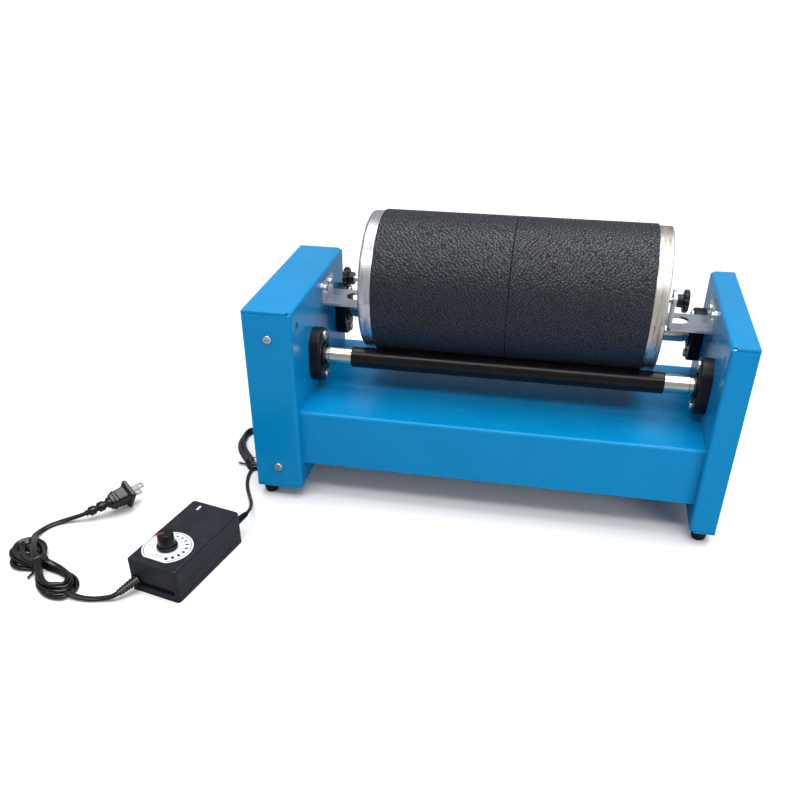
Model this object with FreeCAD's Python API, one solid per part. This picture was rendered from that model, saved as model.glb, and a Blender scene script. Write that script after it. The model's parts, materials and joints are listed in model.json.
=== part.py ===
import FreeCAD, Part
import math
import os

# Rotary rock tumbler: a barrel lying on two rollers between two folded sheet end frames, driven by a
# geared motor in the base, with a separate speed controller on its lead.
# Millimetres. +X runs along the barrel to the right-hand end, +Y to the back, +Z up. The origin is on
# the floor under the middle of the machine.

V = FreeCAD.Vector

# --- driving dimensions -------------------------------------------------------------------------
LENGTH = 480.0            # over both end frames
DEPTH = 204.0             # front to back
FRAME_HEIGHT = 200.0      # end frames, without the feet
FOOT_HEIGHT = 14.0
SHEET = 2.0               # folded steel sheet
BEND_OUTER = 3.5          # outside radius of a fold
BEND_INNER = 1.5
LEFT_WIDTH = 50.0         # left end frame, the drive side
RIGHT_WIDTH = 25.0
BASE_LOW = 28.0           # base channel, above the underside of the end frames
BASE_HIGH = 89.0
BASE_SETBACK = 10.0       # its front wall behind the front of the end frames

FRONT_ROLLER_Y = -30.5
FRONT_ROLLER_Z = 142.0
REAR_ROLLER_Y = 79.0
REAR_ROLLER_Z = 151.0
SLEEVE_RADIUS = 11.0
SLEEVE_LENGTH = 320.0
SHAFT_RADIUS = 9.2
NECK_RADIUS = 8.4         # turned-down neck beside each bearing
JOURNAL_RADIUS = 7.5

HOUSING_WIDTH = 40.0
HOUSING_HEIGHT = 58.0
HOUSING_DEPTH = 12.0
HOUSING_SCREW_PITCH = 44.0
BEARING_RADIUS = 16.0
BEARING_WIDTH = 9.0

BARREL_LENGTH = 298.0
BAND_RADIUS = 72.2        # outside of the textured bands that the rollers drive
RIM_RADIUS = 70.4
RIM_WIDTH = 13.4
RIM_GROOVE = 5.2          # from the barrel's end to the turned line in each rim
SHELL_RADIUS = 69.9
SHELL_WALL = 2.0
ROLLER_GAP = 0.3          # between the bands and the sleeves
BAND_SEAM = 0.4
MOUTH_RADIUS = 48.0
LID_RADIUS = 51.5
LUG_RADIUS = 57.0

BRACKET_SHEET = 2.5
BRACKET_TOP = 186.0       # upper face of its shelf
BRACKET_Y = 24.0
BRACKET_WIDTH = 44.0
STOP_TRAVEL = 4.4         # how far the left stop screw is backed off, against the right one
STUD_RADIUS = 3.0

ADAPTER = V(-268.0, -234.0, 0)     # centre of the controller's underside
ADAPTER_TURN = -12.9               # degrees about +Z
ADAPTER_WIDTH = 55.0
ADAPTER_LENGTH = 108.0
ADAPTER_HEIGHT = 36.0
ADAPTER_SPLIT = 16.0
DIAL_RADIUS = 24.3
DIAL_Y = -24.0                     # dial centre along the controller
DIAL_X = -2.0

MAINS_DIAMETER = 6.2
DC_DIAMETER = 4.0

# --- places worked out from them ----------------------------------------------------------------
LEFT = -LENGTH / 2
RIGHT = LENGTH / 2
LEFT_WALL = LEFT + LEFT_WIDTH          # inner faces, towards the barrel
RIGHT_WALL = RIGHT - RIGHT_WIDTH
MIDDLE = (LEFT_WALL + RIGHT_WALL) / 2  # the barrel and the rollers are centred between the walls
FRONT = -DEPTH / 2
BACK = DEPTH / 2
BOTTOM = FOOT_HEIGHT
TOP = BOTTOM + FRAME_HEIGHT
BASE_BOTTOM = BOTTOM + BASE_LOW
BASE_TOP = BOTTOM + BASE_HIGH
BASE_FRONT = FRONT + BASE_SETBACK

# the barrel lies in the notch between the two rollers
AXIS_REACH = BAND_RADIUS + SLEEVE_RADIUS + ROLLER_GAP
ROLLER_RUN = REAR_ROLLER_Y - FRONT_ROLLER_Y
ROLLER_STEP = REAR_ROLLER_Z - FRONT_ROLLER_Z
HALF_SPAN = math.hypot(ROLLER_RUN, ROLLER_STEP) / 2
BARREL_RISE = math.sqrt(AXIS_REACH ** 2 - HALF_SPAN ** 2)
BARREL_Y = (FRONT_ROLLER_Y + REAR_ROLLER_Y) / 2 - BARREL_RISE * ROLLER_STEP / (2 * HALF_SPAN)
BARREL_Z = (FRONT_ROLLER_Z + REAR_ROLLER_Z) / 2 + BARREL_RISE * ROLLER_RUN / (2 * HALF_SPAN)
BARREL_LEFT = MIDDLE - BARREL_LENGTH / 2
BARREL_RIGHT = MIDDLE + BARREL_LENGTH / 2

MOTOR_Y = FRONT_ROLLER_Y
MOTOR_Z = 75.0
MOTOR_OFFSET = 7.0        # the gearbox output sits this far above the motor's own axis

SCREW_RADIUS = 2.5
SCREW_HEAD_RADIUS = 4.6
SCREW_HEAD = 2.8


# --- shape helpers ------------------------------------------------------------------------------
def block(x0, x1, y0, y1, z0, z1):
    return Part.makeBox(x1 - x0, y1 - y0, z1 - z0, V(x0, y0, z0))


def rod(x0, x1, y, z, radius):
    """A cylinder along X."""
    return Part.makeCylinder(radius, x1 - x0, V(x0, y, z), V(1, 0, 0))


def pipe(x0, x1, y, z, outer, inner):
    return rod(x0, x1, y, z, outer).cut(rod(x0 - 1, x1 + 1, y, z, inner))


def post(x, y, z0, z1, radius):
    """A cylinder along Z."""
    return Part.makeCylinder(radius, z1 - z0, V(x, y, z0), V(0, 0, 1))


def joined(first, *rest):
    return first.fuse(list(rest)).removeSplitter() if rest else first


def edges_at(shape, test):
    return [edge for edge in shape.Edges if all(test(vertex.Point) for vertex in edge.Vertexes)]


def rounded(shape, radius, test):
    return shape.makeFillet(radius, edges_at(shape, test))


def near(a, b):
    return abs(a - b) < 1e-4


def mirrored(shape):
    """The same piece at the other end of the barrel."""
    return shape.mirror(V(MIDDLE, 0, 0), V(1, 0, 0))


def save(name, *solids):
    shape = solids[0] if len(solids) == 1 else Part.makeCompound(list(solids))
    for solid in shape.Solids:
        if not solid.isValid() or solid.Volume <= 0:
            print("INVALID", name, solid.Volume)
    shape.exportStep("parts/" + name + ".step")


def pan_screw(tip, direction, length):
    """A pan-head screw with its tip at a point and its head at the far end, along direction."""
    shank = Part.makeCylinder(SCREW_RADIUS, length, tip, direction)
    seat = tip + direction * length
    head = Part.makeCylinder(SCREW_HEAD_RADIUS, SCREW_HEAD, seat, direction)
    far = seat + direction * SCREW_HEAD
    head = head.makeFillet(1.6, [edge for edge in head.Edges
                                 if near((edge.CenterOfMass - far).Length, 0)])
    slot = Part.makeBox(5.2, 1.1, 1.4, V(-2.6, -0.55, -1.4))
    cross = slot.fuse(Part.makeBox(1.1, 5.2, 1.4, V(-0.55, -2.6, -1.4)))
    cross.Placement = FreeCAD.Placement(far, FreeCAD.Rotation(V(0, 0, 1), direction))
    return shank.fuse(head).cut(cross)


# --- cords --------------------------------------------------------------------------------------
def cord_tube(name, points, diameter):
    """Straight runs joined by tangent arcs, swept with a round section."""
    route = [V(*point) for point in points]
    edges = []
    start = route[0]
    tightest = None
    for before, corner, after in zip(route, route[1:], route[2:]):
        back = (before - corner).normalize()
        ahead = (after - corner).normalize()
        turn = math.pi - back.getAngle(ahead)
        shorter = min((before - corner).Length, (after - corner).Length)
        radius = 0.45 * shorter / math.tan(turn / 2)
        tightest = radius if tightest is None else min(tightest, radius)
        cut_back = 0.45 * shorter
        enter = corner + back * cut_back
        leave = corner + ahead * cut_back
        inward = (back + ahead).normalize()
        middle = corner + inward * (radius / math.cos(turn / 2) - radius)
        edges.append(Part.LineSegment(start, enter).toShape())
        edges.append(Part.Arc(enter, middle, leave).toShape())
        start = leave
    edges.append(Part.LineSegment(start, route[-1]).toShape())
    path = Part.Wire(edges)
    section = Part.Wire([Part.Circle(route[0], route[1] - route[0], diameter / 2).toShape()])
    tube = path.makePipeShell([section], True, False)
    area = math.pi * diameter ** 2 / 4
    print(name, "length", round(path.Length, 1), "tightest radius", round(tightest, 1),
          "volume ratio", round(tube.Volume / (area * path.Length), 4))
    save(name, tube)


# --- end frames ---------------------------------------------------------------------------------
def end_tray(width):
    """A folded tray with its wall on the plane x=0 and its open side towards -X."""
    outer = block(-width, 0, FRONT, BACK, BOTTOM, TOP)
    outer = rounded(outer, BEND_OUTER, lambda p: near(p.x, 0))
    inner = block(-width - 5, -SHEET, FRONT + SHEET, BACK - SHEET, BOTTOM + SHEET, TOP - SHEET)
    inner = rounded(inner, BEND_INNER, lambda p: near(p.x, -SHEET))
    tray = outer.cut(inner)
    seam = 0.4
    notch = 2.2
    for y in (FRONT, BACK):
        side = 1 if y > 0 else -1
        for z in (BOTTOM, TOP):
            level = 1 if z > 0.5 * (BOTTOM + TOP) else -1
            z_seam = z - level * (SHEET + seam)
            slit = block(-width - 1, -BEND_OUTER, min(y, y - side * (SHEET + 0.1)) - 0.2,
                         max(y, y - side * (SHEET + 0.1)) + 0.2, min(z_seam, z_seam + level * seam),
                         max(z_seam, z_seam + level * seam))
            tray = tray.cut(slit)
            tray = tray.cut(rod(-BEND_OUTER - 1, 1, y - side * 0.8, z - level * 0.8, notch))
    return tray


def wall_holes(tray, at_x, left):
    """The bores, screw holes and the small spare hole in an end frame's wall."""
    for y, z in ((FRONT_ROLLER_Y, FRONT_ROLLER_Z), (REAR_ROLLER_Y, REAR_ROLLER_Z)):
        for dz in (-HOUSING_SCREW_PITCH / 2, HOUSING_SCREW_PITCH / 2):
            tray = tray.cut(rod(at_x - 5, at_x + 5, y, z + dz, SCREW_RADIUS + 0.1))
        if left:
            tray = tray.cut(rod(at_x - 5, at_x + 5, y, z, JOURNAL_RADIUS + 4))
    for dy in BRACKET_SCREWS:
        tray = tray.cut(rod(at_x - 5, at_x + 5, BRACKET_Y + dy, BRACKET_SCREW_Z, SCREW_RADIUS + 0.1))
    return tray.cut(rod(at_x - 5, at_x + 5, -83, 194, 4))


BRACKET_SCREWS = (-10, 10)
BRACKET_SCREW_Z = 198.0
COVER_SCREW_X = LEFT + 25
COVER_SCREW_Z = (BOTTOM + 26, BOTTOM + 172)
COVER_INSET = 0.5
GLAND_Y = 30.0
GLAND_Z = 48.0


def make_end_frames():
    left = end_tray(LEFT_WIDTH).translated(V(LEFT_WALL, 0, 0))
    left = wall_holes(left, LEFT_WALL - SHEET / 2, True)
    left = left.cut(rod(LEFT_WALL - 5, LEFT_WALL + 5, MOTOR_Y, MOTOR_Z, 8))
    for z in COVER_SCREW_Z:
        left = left.cut(Part.makeCylinder(SCREW_RADIUS + 0.1, DEPTH + 10,
                                          V(COVER_SCREW_X, FRONT - 5, z), V(0, 1, 0)))
    right = end_tray(RIGHT_WIDTH).mirror(V(0, 0, 0), V(1, 0, 0)).translated(V(RIGHT_WALL, 0, 0))
    right = wall_holes(right, RIGHT_WALL + SHEET / 2, False)
    for x, y in FOOT_PLACES:
        hole = post(x, y, BOTTOM - 1, BOTTOM + SHEET + 1, SCREW_RADIUS + 0.1)
        left = left.cut(hole)
        right = right.cut(hole)
    save("left_end_frame", left)
    save("right_end_frame", right)


def make_cover():
    """The drive-side cover: a panel whose two folded edges slide inside the left frame."""
    gap = 0.4
    y0 = FRONT + SHEET + gap
    y1 = BACK - SHEET - gap
    z0 = BOTTOM + SHEET + gap
    z1 = TOP - SHEET - gap
    flange = 34.0
    outer = block(LEFT + COVER_INSET, LEFT + flange, y0, y1, z0, z1)
    for y in (y0, y1):
        outer = rounded(outer, 2.5, lambda p: near(p.x, LEFT + COVER_INSET) and near(p.y, y))
    hollow = block(LEFT + COVER_INSET + SHEET, LEFT + flange + 1, y0 + SHEET, y1 - SHEET, z0 - 1, z1 + 1)
    cover = outer.cut(hollow)
    for z in COVER_SCREW_Z:
        cover = cover.cut(Part.makeCylinder(SCREW_RADIUS + 0.1, DEPTH + 10,
                                            V(COVER_SCREW_X, FRONT - 5, z), V(0, 1, 0)))
    cover = cover.cut(rod(LEFT - 1, LEFT + 5, GLAND_Y, GLAND_Z, 6.1))
    for row in range(5):
        z = BOTTOM + 60 + row * 12
        slot = joined(block(LEFT - 1, LEFT + 5, 50, 80, z - 1.5, z + 1.5),
                      rod(LEFT - 1, LEFT + 5, 50, z, 1.5), rod(LEFT - 1, LEFT + 5, 80, z, 1.5))
        cover = cover.cut(slot)
    save("left_outer_cover", cover)


def make_base():
    """An inverted channel between the end frames, its lower edges folded inwards."""
    lip = 12.0
    outer = block(LEFT_WALL, RIGHT_WALL, BASE_FRONT, BACK, BASE_BOTTOM, BASE_TOP)
    for y in (BASE_FRONT, BACK):
        outer = rounded(outer, BEND_OUTER, lambda p: near(p.z, BASE_TOP) and near(p.y, y))
    hollow = block(LEFT_WALL - 1, RIGHT_WALL + 1, BASE_FRONT + SHEET, BACK - SHEET,
                   BASE_BOTTOM + SHEET, BASE_TOP - SHEET)
    mouth = block(LEFT_WALL - 1, RIGHT_WALL + 1, BASE_FRONT + lip, BACK - lip,
                  BASE_BOTTOM - 1, BASE_BOTTOM + SHEET + 1)
    save("base_channel", outer.cut(hollow).cut(mouth))


FOOT_PLACES = [(x, y) for x in (LEFT + 10, (RIGHT + RIGHT_WALL) / 2) for y in (-88, 88)]


def make_feet():
    feet = []
    for x, y in FOOT_PLACES:
        foot = Part.makeCone(6.5, 8.5, 8, V(x, y, 0), V(0, 0, 1))
        foot = foot.makeFillet(2.5, [edge for edge in foot.Edges
                                     if near(edge.CenterOfMass.z, 0) and len(edge.Vertexes) == 1])
        foot = foot.fuse(post(x, y, 8, BOTTOM, 8.5)).removeSplitter()
        feet.append(foot.cut(post(x, y, 5, BOTTOM + 1, SCREW_RADIUS)))
    save("rubber_feet", *feet)


# --- rollers and bearings -----------------------------------------------------------------------
ROLLERS = {"front": (FRONT_ROLLER_Y, FRONT_ROLLER_Z), "rear": (REAR_ROLLER_Y, REAR_ROLLER_Z)}
BEARING_START = LEFT_WALL + 1.0        # the bearing sits in a pocket on the wall side of its housing
BEARING_END = BEARING_START + BEARING_WIDTH


def housing(y, z):
    """A two-screw bearing housing on the left wall."""
    x0 = LEFT_WALL
    x1 = LEFT_WALL + HOUSING_DEPTH
    half = HOUSING_WIDTH / 2
    straight = HOUSING_HEIGHT / 2 - half
    body = block(x0, x1, y - half, y + half, z - straight, z + straight)
    body = joined(body, rod(x0, x1, y, z + straight, half), rod(x0, x1, y, z - straight, half))
    body = rounded(body, 2.5, lambda p: near(p.x, x1))
    body = joined(body, rod(x1 - 1, x1 + 1.8, y, z, 13.5))
    body = body.cut(rod(x0 - 1, BEARING_END, y, z, BEARING_RADIUS))
    body = body.cut(rod(x0, x1 + 3, y, z, 10.5))
    for dz in (-HOUSING_SCREW_PITCH / 2, HOUSING_SCREW_PITCH / 2):
        body = body.cut(rod(x0 - 1, x1 + 1, y, z + dz, SCREW_RADIUS + 0.1))
    return body


def make_housings():
    for row, (y, z) in ROLLERS.items():
        left = housing(y, z)
        save("bearing_housing_" + row + "_left", left)
        save("bearing_housing_" + row + "_right", mirrored(left))


def make_bearings():
    rings = []
    balls = []
    for row, (y, z) in ROLLERS.items():
        outer = pipe(BEARING_START, BEARING_END, y, z, BEARING_RADIUS, 13.2)
        inner = pipe(BEARING_START, BEARING_END, y, z, 10.0, JOURNAL_RADIUS)
        rings += [outer, mirrored(outer)]
        save(row + "_bearing_inner_rings", inner, mirrored(inner))
        for number in range(8):
            angle = number * math.pi / 4
            ball = Part.makeSphere(1.5, V((BEARING_START + BEARING_END) / 2,
                                          y + 11.6 * math.cos(angle), z + 11.6 * math.sin(angle)))
            balls += [ball, mirrored(ball)]
    save("ball_bearings", *rings, *balls)


PULLEY_RIGHT = LEFT_WALL - 10          # the belt runs in the left frame, outside its wall
PULLEY_WIDTH = 12.0
PULLEY_LEFT = PULLEY_RIGHT - PULLEY_WIDTH


def shaft(y, z, tail):
    """A roller shaft; tail is where its left end stops."""
    far = 2 * MIDDLE
    neck = BEARING_END
    shoulder = neck + 8
    body = rod(shoulder, far - shoulder, y, z, SHAFT_RADIUS)
    body = body.makeChamfer(0.8, [edge for edge in body.Edges if len(edge.Vertexes) == 1])
    body = joined(body, rod(neck, far - neck, y, z, NECK_RADIUS))
    end = RIGHT_WALL - 0.5
    return joined(body, rod(tail, end, y, z, JOURNAL_RADIUS))


def make_rollers():
    for row, (y, z) in ROLLERS.items():
        tail = PULLEY_LEFT - 4 if row == "front" else LEFT_WALL - 4
        save(row + "_roller_shaft", shaft(y, z, tail))
        sleeve = pipe(MIDDLE - SLEEVE_LENGTH / 2, MIDDLE + SLEEVE_LENGTH / 2, y, z,
                      SLEEVE_RADIUS, SHAFT_RADIUS + 0.05)
        sleeve = sleeve.makeFillet(0.8, [edge for edge in sleeve.Edges if len(edge.Vertexes) == 1
                                         and edge.Curve.TypeId == "Part::GeomCircle"
                                         and near(edge.Curve.Radius, SLEEVE_RADIUS)])
        save(row + "_roller_sleeve", sleeve)


# --- drive --------------------------------------------------------------------------------------
ROLLER_PULLEY_RADIUS = 18.0
MOTOR_PULLEY_RADIUS = 12.0
BELT_THICKNESS = 2.0
BELT_WIDTH = 9.0
MOTOR_SHAFT_RADIUS = 3.0
MOTOR_FACE = LEFT_WALL + 3.0
GEARBOX_END = MOTOR_FACE + 24
CAN_END = GEARBOX_END + 45


def pulley(y, z, radius, bore):
    wheel = rod(PULLEY_LEFT, PULLEY_RIGHT, y, z, radius)
    rim = 1.2
    for x0 in (PULLEY_LEFT, PULLEY_RIGHT - rim):
        wheel = joined(wheel, rod(x0, x0 + rim, y, z, radius + 3.2))
    wheel = joined(wheel, rod(PULLEY_RIGHT, PULLEY_RIGHT + 5, y, z, max(bore + 4, radius * 0.6)))
    return wheel.cut(rod(PULLEY_LEFT - 1, PULLEY_RIGHT + 6, y, z, bore))


def belt_loop(inset, x0, x1):
    """The filled outline of the belt round both pulleys, this far off the pulleys."""
    y = MOTOR_Y
    big = ROLLER_PULLEY_RADIUS + inset
    small = MOTOR_PULLEY_RADIUS + inset
    span = FRONT_ROLLER_Z - MOTOR_Z
    lean = math.asin((big - small) / span)
    side = V(0, math.cos(lean), -math.sin(lean))
    other = V(0, -math.cos(lean), -math.sin(lean))
    top = V(x0, y, FRONT_ROLLER_Z)
    low = V(x0, y, MOTOR_Z)
    web = Part.makePolygon([top + side * big, low + side * small, low + other * small,
                            top + other * big, top + side * big])
    web = Part.Face(web).extrude(V(x1 - x0, 0, 0))
    return joined(web, rod(x0, x1, y, FRONT_ROLLER_Z, big), rod(x0, x1, y, MOTOR_Z, small))


def make_drive():
    save("roller_pulley", pulley(MOTOR_Y, FRONT_ROLLER_Z, ROLLER_PULLEY_RADIUS, JOURNAL_RADIUS))
    save("motor_pulley", pulley(MOTOR_Y, MOTOR_Z, MOTOR_PULLEY_RADIUS, MOTOR_SHAFT_RADIUS))
    x0 = (PULLEY_LEFT + PULLEY_RIGHT - BELT_WIDTH) / 2
    slack = 0.3
    belt = belt_loop(slack + BELT_THICKNESS, x0, x0 + BELT_WIDTH)
    save("drive_belt", belt.cut(belt_loop(slack, x0 - 1, x0 + BELT_WIDTH + 1)))

    axis_z = MOTOR_Z - MOTOR_OFFSET
    gearbox = rod(MOTOR_FACE, GEARBOX_END, MOTOR_Y, axis_z, 18.5)
    gearbox = joined(gearbox, rod(MOTOR_FACE - 5, MOTOR_FACE, MOTOR_Y, MOTOR_Z, 6))
    gearbox = gearbox.cut(rod(MOTOR_FACE - 6, MOTOR_FACE + 16, MOTOR_Y, MOTOR_Z,
                              MOTOR_SHAFT_RADIUS + 0.05))
    for angle in range(0, 360, 60):
        y = MOTOR_Y + 15.5 * math.cos(math.radians(angle + 30))
        z = axis_z + 15.5 * math.sin(math.radians(angle + 30))
        gearbox = gearbox.cut(rod(MOTOR_FACE - 1, MOTOR_FACE + 6, y, z, 1.5))
    save("motor_gearbox", gearbox)

    can = rod(GEARBOX_END, CAN_END, MOTOR_Y, axis_z, 17.5)
    can = can.makeFillet(2, [edge for edge in can.Edges if near(edge.CenterOfMass.x, CAN_END)])
    can = joined(can, rod(CAN_END, CAN_END + 3, MOTOR_Y, axis_z, 6))
    for dy in (-9, 9):
        can = joined(can, block(CAN_END - 1, CAN_END + 7, MOTOR_Y + dy - 1.5, MOTOR_Y + dy + 1.5,
                                axis_z - 0.4, axis_z + 0.4))
    save("motor_can", can)

    save("motor_shaft", rod(PULLEY_LEFT - 2, MOTOR_FACE + 15, MOTOR_Y, MOTOR_Z, MOTOR_SHAFT_RADIUS))

    plate = block(LEFT_WALL, MOTOR_FACE, MOTOR_Y - 24, MOTOR_Y + 24, axis_z - 20, BASE_TOP - SHEET)
    shelf = block(LEFT_WALL, LEFT_WALL + 30, MOTOR_Y - 24, MOTOR_Y + 24,
                  BASE_TOP - SHEET - 3, BASE_TOP - SHEET)
    mount = joined(plate, shelf).cut(rod(LEFT_WALL - 1, MOTOR_FACE + 1, MOTOR_Y, MOTOR_Z, 6.2))
    screws = []
    for angle in range(0, 360, 60):
        y = MOTOR_Y + 15.5 * math.cos(math.radians(angle + 30))
        z = axis_z + 15.5 * math.sin(math.radians(angle + 30))
        mount = mount.cut(rod(LEFT_WALL - 1, MOTOR_FACE - 1, y, z, 2.6))
        mount = mount.cut(rod(LEFT_WALL - 1, MOTOR_FACE + 1, y, z, 1.5))
        screw = joined(rod(MOTOR_FACE - 3, MOTOR_FACE - 1, y, z, 2.4),
                       rod(MOTOR_FACE - 1, MOTOR_FACE + 5, y, z, 1.4))
        screws.append(screw)
    save("motor_mount", mount)
    save("motor_screws", *screws)


def make_gland():
    """The threaded gland that the low-voltage lead enters by, with its nut inside the cover."""
    x = LEFT
    body = joined(rod(x - 5, x + COVER_INSET, GLAND_Y, GLAND_Z, 8.5),
                  rod(x, x + 10, GLAND_Y, GLAND_Z, 6), rod(x - 12, x - 5, GLAND_Y, GLAND_Z, 5.5))
    seat = x + COVER_INSET + SHEET
    corners = [V(seat, GLAND_Y + 9 * math.cos(n * math.pi / 3), GLAND_Z + 9 * math.sin(n * math.pi / 3))
               for n in range(7)]
    body = joined(body, Part.Face(Part.makePolygon(corners)).extrude(V(4, 0, 0)))
    save("dc_gland", body.cut(rod(x - 13, x + 11, GLAND_Y, GLAND_Z, DC_DIAMETER / 2)))


# --- barrel -------------------------------------------------------------------------------------
LID_FACE = BARREL_RIGHT - 0.2
LID_BACK = BARREL_RIGHT - 10.5
LINER_END = BARREL_RIGHT - 13.5
SPIGOT = 10.0
SPIGOT_INNER = 66.2


def sector(x0, x1, radius, centre_deg, width_deg):
    wedge = Part.makeCylinder(radius, x1 - x0, V(0, 0, 0), V(0, 0, 1), width_deg)
    turn = FreeCAD.Rotation(V(0, 0, 1), centre_deg - width_deg / 2)
    wedge.Placement = FreeCAD.Placement(V(0, 0, 0), turn)
    upright = FreeCAD.Placement(V(x0, BARREL_Y, BARREL_Z), FreeCAD.Rotation(V(0, 1, 0), 90))
    wedge.Placement = upright.multiply(wedge.Placement)
    return wedge


def rim_groove(x):
    """The shallow turned line round a rim."""
    return pipe(x - 0.3, x + 0.3, BARREL_Y, BARREL_Z, RIM_RADIUS + 1, RIM_RADIUS - 0.4)


def make_barrel():
    y = BARREL_Y
    z = BARREL_Z
    shell_left = BARREL_LEFT + RIM_WIDTH
    shell_right = BARREL_RIGHT - RIM_WIDTH
    shell_inner = SHELL_RADIUS - SHELL_WALL
    save("drum_shell", pipe(shell_left, shell_right, y, z, SHELL_RADIUS, shell_inner))

    left = rod(BARREL_LEFT, shell_left, y, z, RIM_RADIUS)
    left = left.makeFillet(3, [edge for edge in left.Edges
                               if near(edge.CenterOfMass.x, BARREL_LEFT)])
    left = left.cut(rod(BARREL_LEFT + 4, shell_left + 1, y, z, SPIGOT_INNER))
    left = left.cut(rim_groove(BARREL_LEFT + RIM_GROOVE))
    left = joined(left, pipe(shell_left, shell_left + SPIGOT, y, z, shell_inner - 0.05, SPIGOT_INNER))
    save("drum_left_end", left)

    right = rod(shell_right, BARREL_RIGHT, y, z, RIM_RADIUS)
    right = right.makeFillet(1, [edge for edge in right.Edges
                                 if near(edge.CenterOfMass.x, BARREL_RIGHT)])
    right = right.cut(rod(shell_right - 1, BARREL_RIGHT - 5, y, z, SPIGOT_INNER))
    right = right.cut(rod(shell_right - 1, BARREL_RIGHT + 1, y, z, LID_RADIUS + 0.5))
    right = right.cut(rim_groove(BARREL_RIGHT - RIM_GROOVE))
    right = joined(right, pipe(shell_right - SPIGOT, shell_right, y, z,
                               shell_inner - 0.05, SPIGOT_INNER))
    for angle in (0, 120, 240):
        right = right.cut(sector(BARREL_RIGHT - 6, BARREL_RIGHT + 1, LUG_RADIUS + 0.6, angle, 36))
    save("drum_right_rim", right)

    facets = 10
    cavity_radius = 64.0
    corners = []
    for number in range(facets + 1):
        angle = 2 * math.pi * number / facets
        corners.append(V(BARREL_LEFT + 7, y + cavity_radius * math.cos(angle),
                         z + cavity_radius * math.sin(angle)))
    cavity = Part.Face(Part.makePolygon(corners)).extrude(V(LINER_END - 3 - BARREL_LEFT - 7, 0, 0))
    liner = joined(rod(shell_left + SPIGOT + 0.1, shell_right - SPIGOT - 0.1, y, z, shell_inner - 0.05),
                   rod(BARREL_LEFT + 4, LINER_END, y, z, SPIGOT_INNER - 0.05))
    liner = liner.cut(cavity)
    save("drum_liner", liner.cut(rod(LINER_END - 5, LINER_END + 1, y, z, MOUTH_RADIUS)))

    for side, x0, x1 in (("left", shell_left, MIDDLE - BAND_SEAM / 2),
                         ("right", MIDDLE + BAND_SEAM / 2, shell_right)):
        band = pipe(x0, x1, y, z, BAND_RADIUS, SHELL_RADIUS + 0.05)
        band = band.makeFillet(0.7, [edge for edge in band.Edges if len(edge.Vertexes) == 1
                                     and near(edge.Curve.Radius, BAND_RADIUS)])
        save("textured_band_" + side, band)


def make_lid():
    """A lid that locks behind the rim with three lugs and turns free of them."""
    y = BARREL_Y
    z = BARREL_Z
    lid = rod(LID_BACK, LID_FACE, y, z, LID_RADIUS)
    lid = lid.makeFillet(1.5, [edge for edge in lid.Edges if near(edge.CenterOfMass.x, LID_FACE)])
    for angle in (60, 180, 300):
        lid = joined(lid, sector(LID_BACK, BARREL_RIGHT - 5.4, LUG_RADIUS, angle, 30))
    recess = rod(LID_FACE - 7, LID_FACE + 1, y, z, 36)
    bar = block(LID_FACE - 9, LID_FACE + 2, y - 7, y + 7, z - 40, z + 40)
    hub = rod(LID_FACE - 9, LID_FACE + 2, y, z, 13)
    save("drum_lid", lid.cut(recess.cut(bar).cut(hub)))
    save("lid_gasket", pipe(LINER_END + 0.3, LID_BACK, y, z, LUG_RADIUS, MOUTH_RADIUS))


# --- end stops ----------------------------------------------------------------------------------
TAB_INNER = BARREL_RIGHT + 10.5        # face of the tab towards the barrel, right-hand end
TAB_OUTER = TAB_INNER + BRACKET_SHEET
TABHALF_SPAN = 10.5


def stop_bracket():
    """The right-hand bracket: a wall leg, a shelf with a window and a tab for the stop screw."""
    y0 = BRACKET_Y - BRACKET_WIDTH / 2
    y1 = BRACKET_Y + BRACKET_WIDTH / 2
    wall = block(RIGHT_WALL - BRACKET_SHEET, RIGHT_WALL, y0, y1, BRACKET_TOP - BRACKET_SHEET, 206)
    for y in (y0, y1):
        wall = rounded(wall, 6, lambda p: near(p.z, 206) and near(p.y, y))
    shelf = block(TAB_INNER - 2, RIGHT_WALL, y0, y1, BRACKET_TOP - BRACKET_SHEET, BRACKET_TOP)
    shelf = rounded(shelf, 7, lambda p: near(p.x, TAB_INNER - 2) and near(p.y, y1))
    shelf = rounded(shelf, 4, lambda p: near(p.x, TAB_INNER - 2) and near(p.y, y0))
    bracket = joined(wall, shelf)
    bracket = rounded(bracket, 2.4, lambda p: near(p.x, RIGHT_WALL) and
                      near(p.z, BRACKET_TOP - BRACKET_SHEET))
    window_y = BRACKET_Y + 4
    half = 10.0
    reach = TAB_OUTER + 8.0
    window = block(TAB_OUTER + 0.5, reach, window_y - half, window_y + half, 180, 190)
    window = joined(window, post(reach, window_y, 180, 190, half))
    tab = block(TAB_INNER, TAB_OUTER, BARREL_Y - TABHALF_SPAN, BARREL_Y + TABHALF_SPAN, BRACKET_TOP, BARREL_Z)
    tab = joined(tab, rod(TAB_INNER, TAB_OUTER, BARREL_Y, BARREL_Z, TABHALF_SPAN),
                 rod(TAB_OUTER, TAB_OUTER + 1.5, BARREL_Y, BARREL_Z, 5.5))
    bracket = joined(bracket.cut(window), tab)
    bracket = bracket.cut(rod(TAB_INNER - 1, TAB_OUTER + 3, BARREL_Y, BARREL_Z, STUD_RADIUS + 0.05))
    for dy in BRACKET_SCREWS:
        bracket = bracket.cut(rod(RIGHT_WALL - 5, RIGHT_WALL + 1, BRACKET_Y + dy, BRACKET_SCREW_Z,
                                  SCREW_RADIUS + 0.1))
    return bracket


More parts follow.
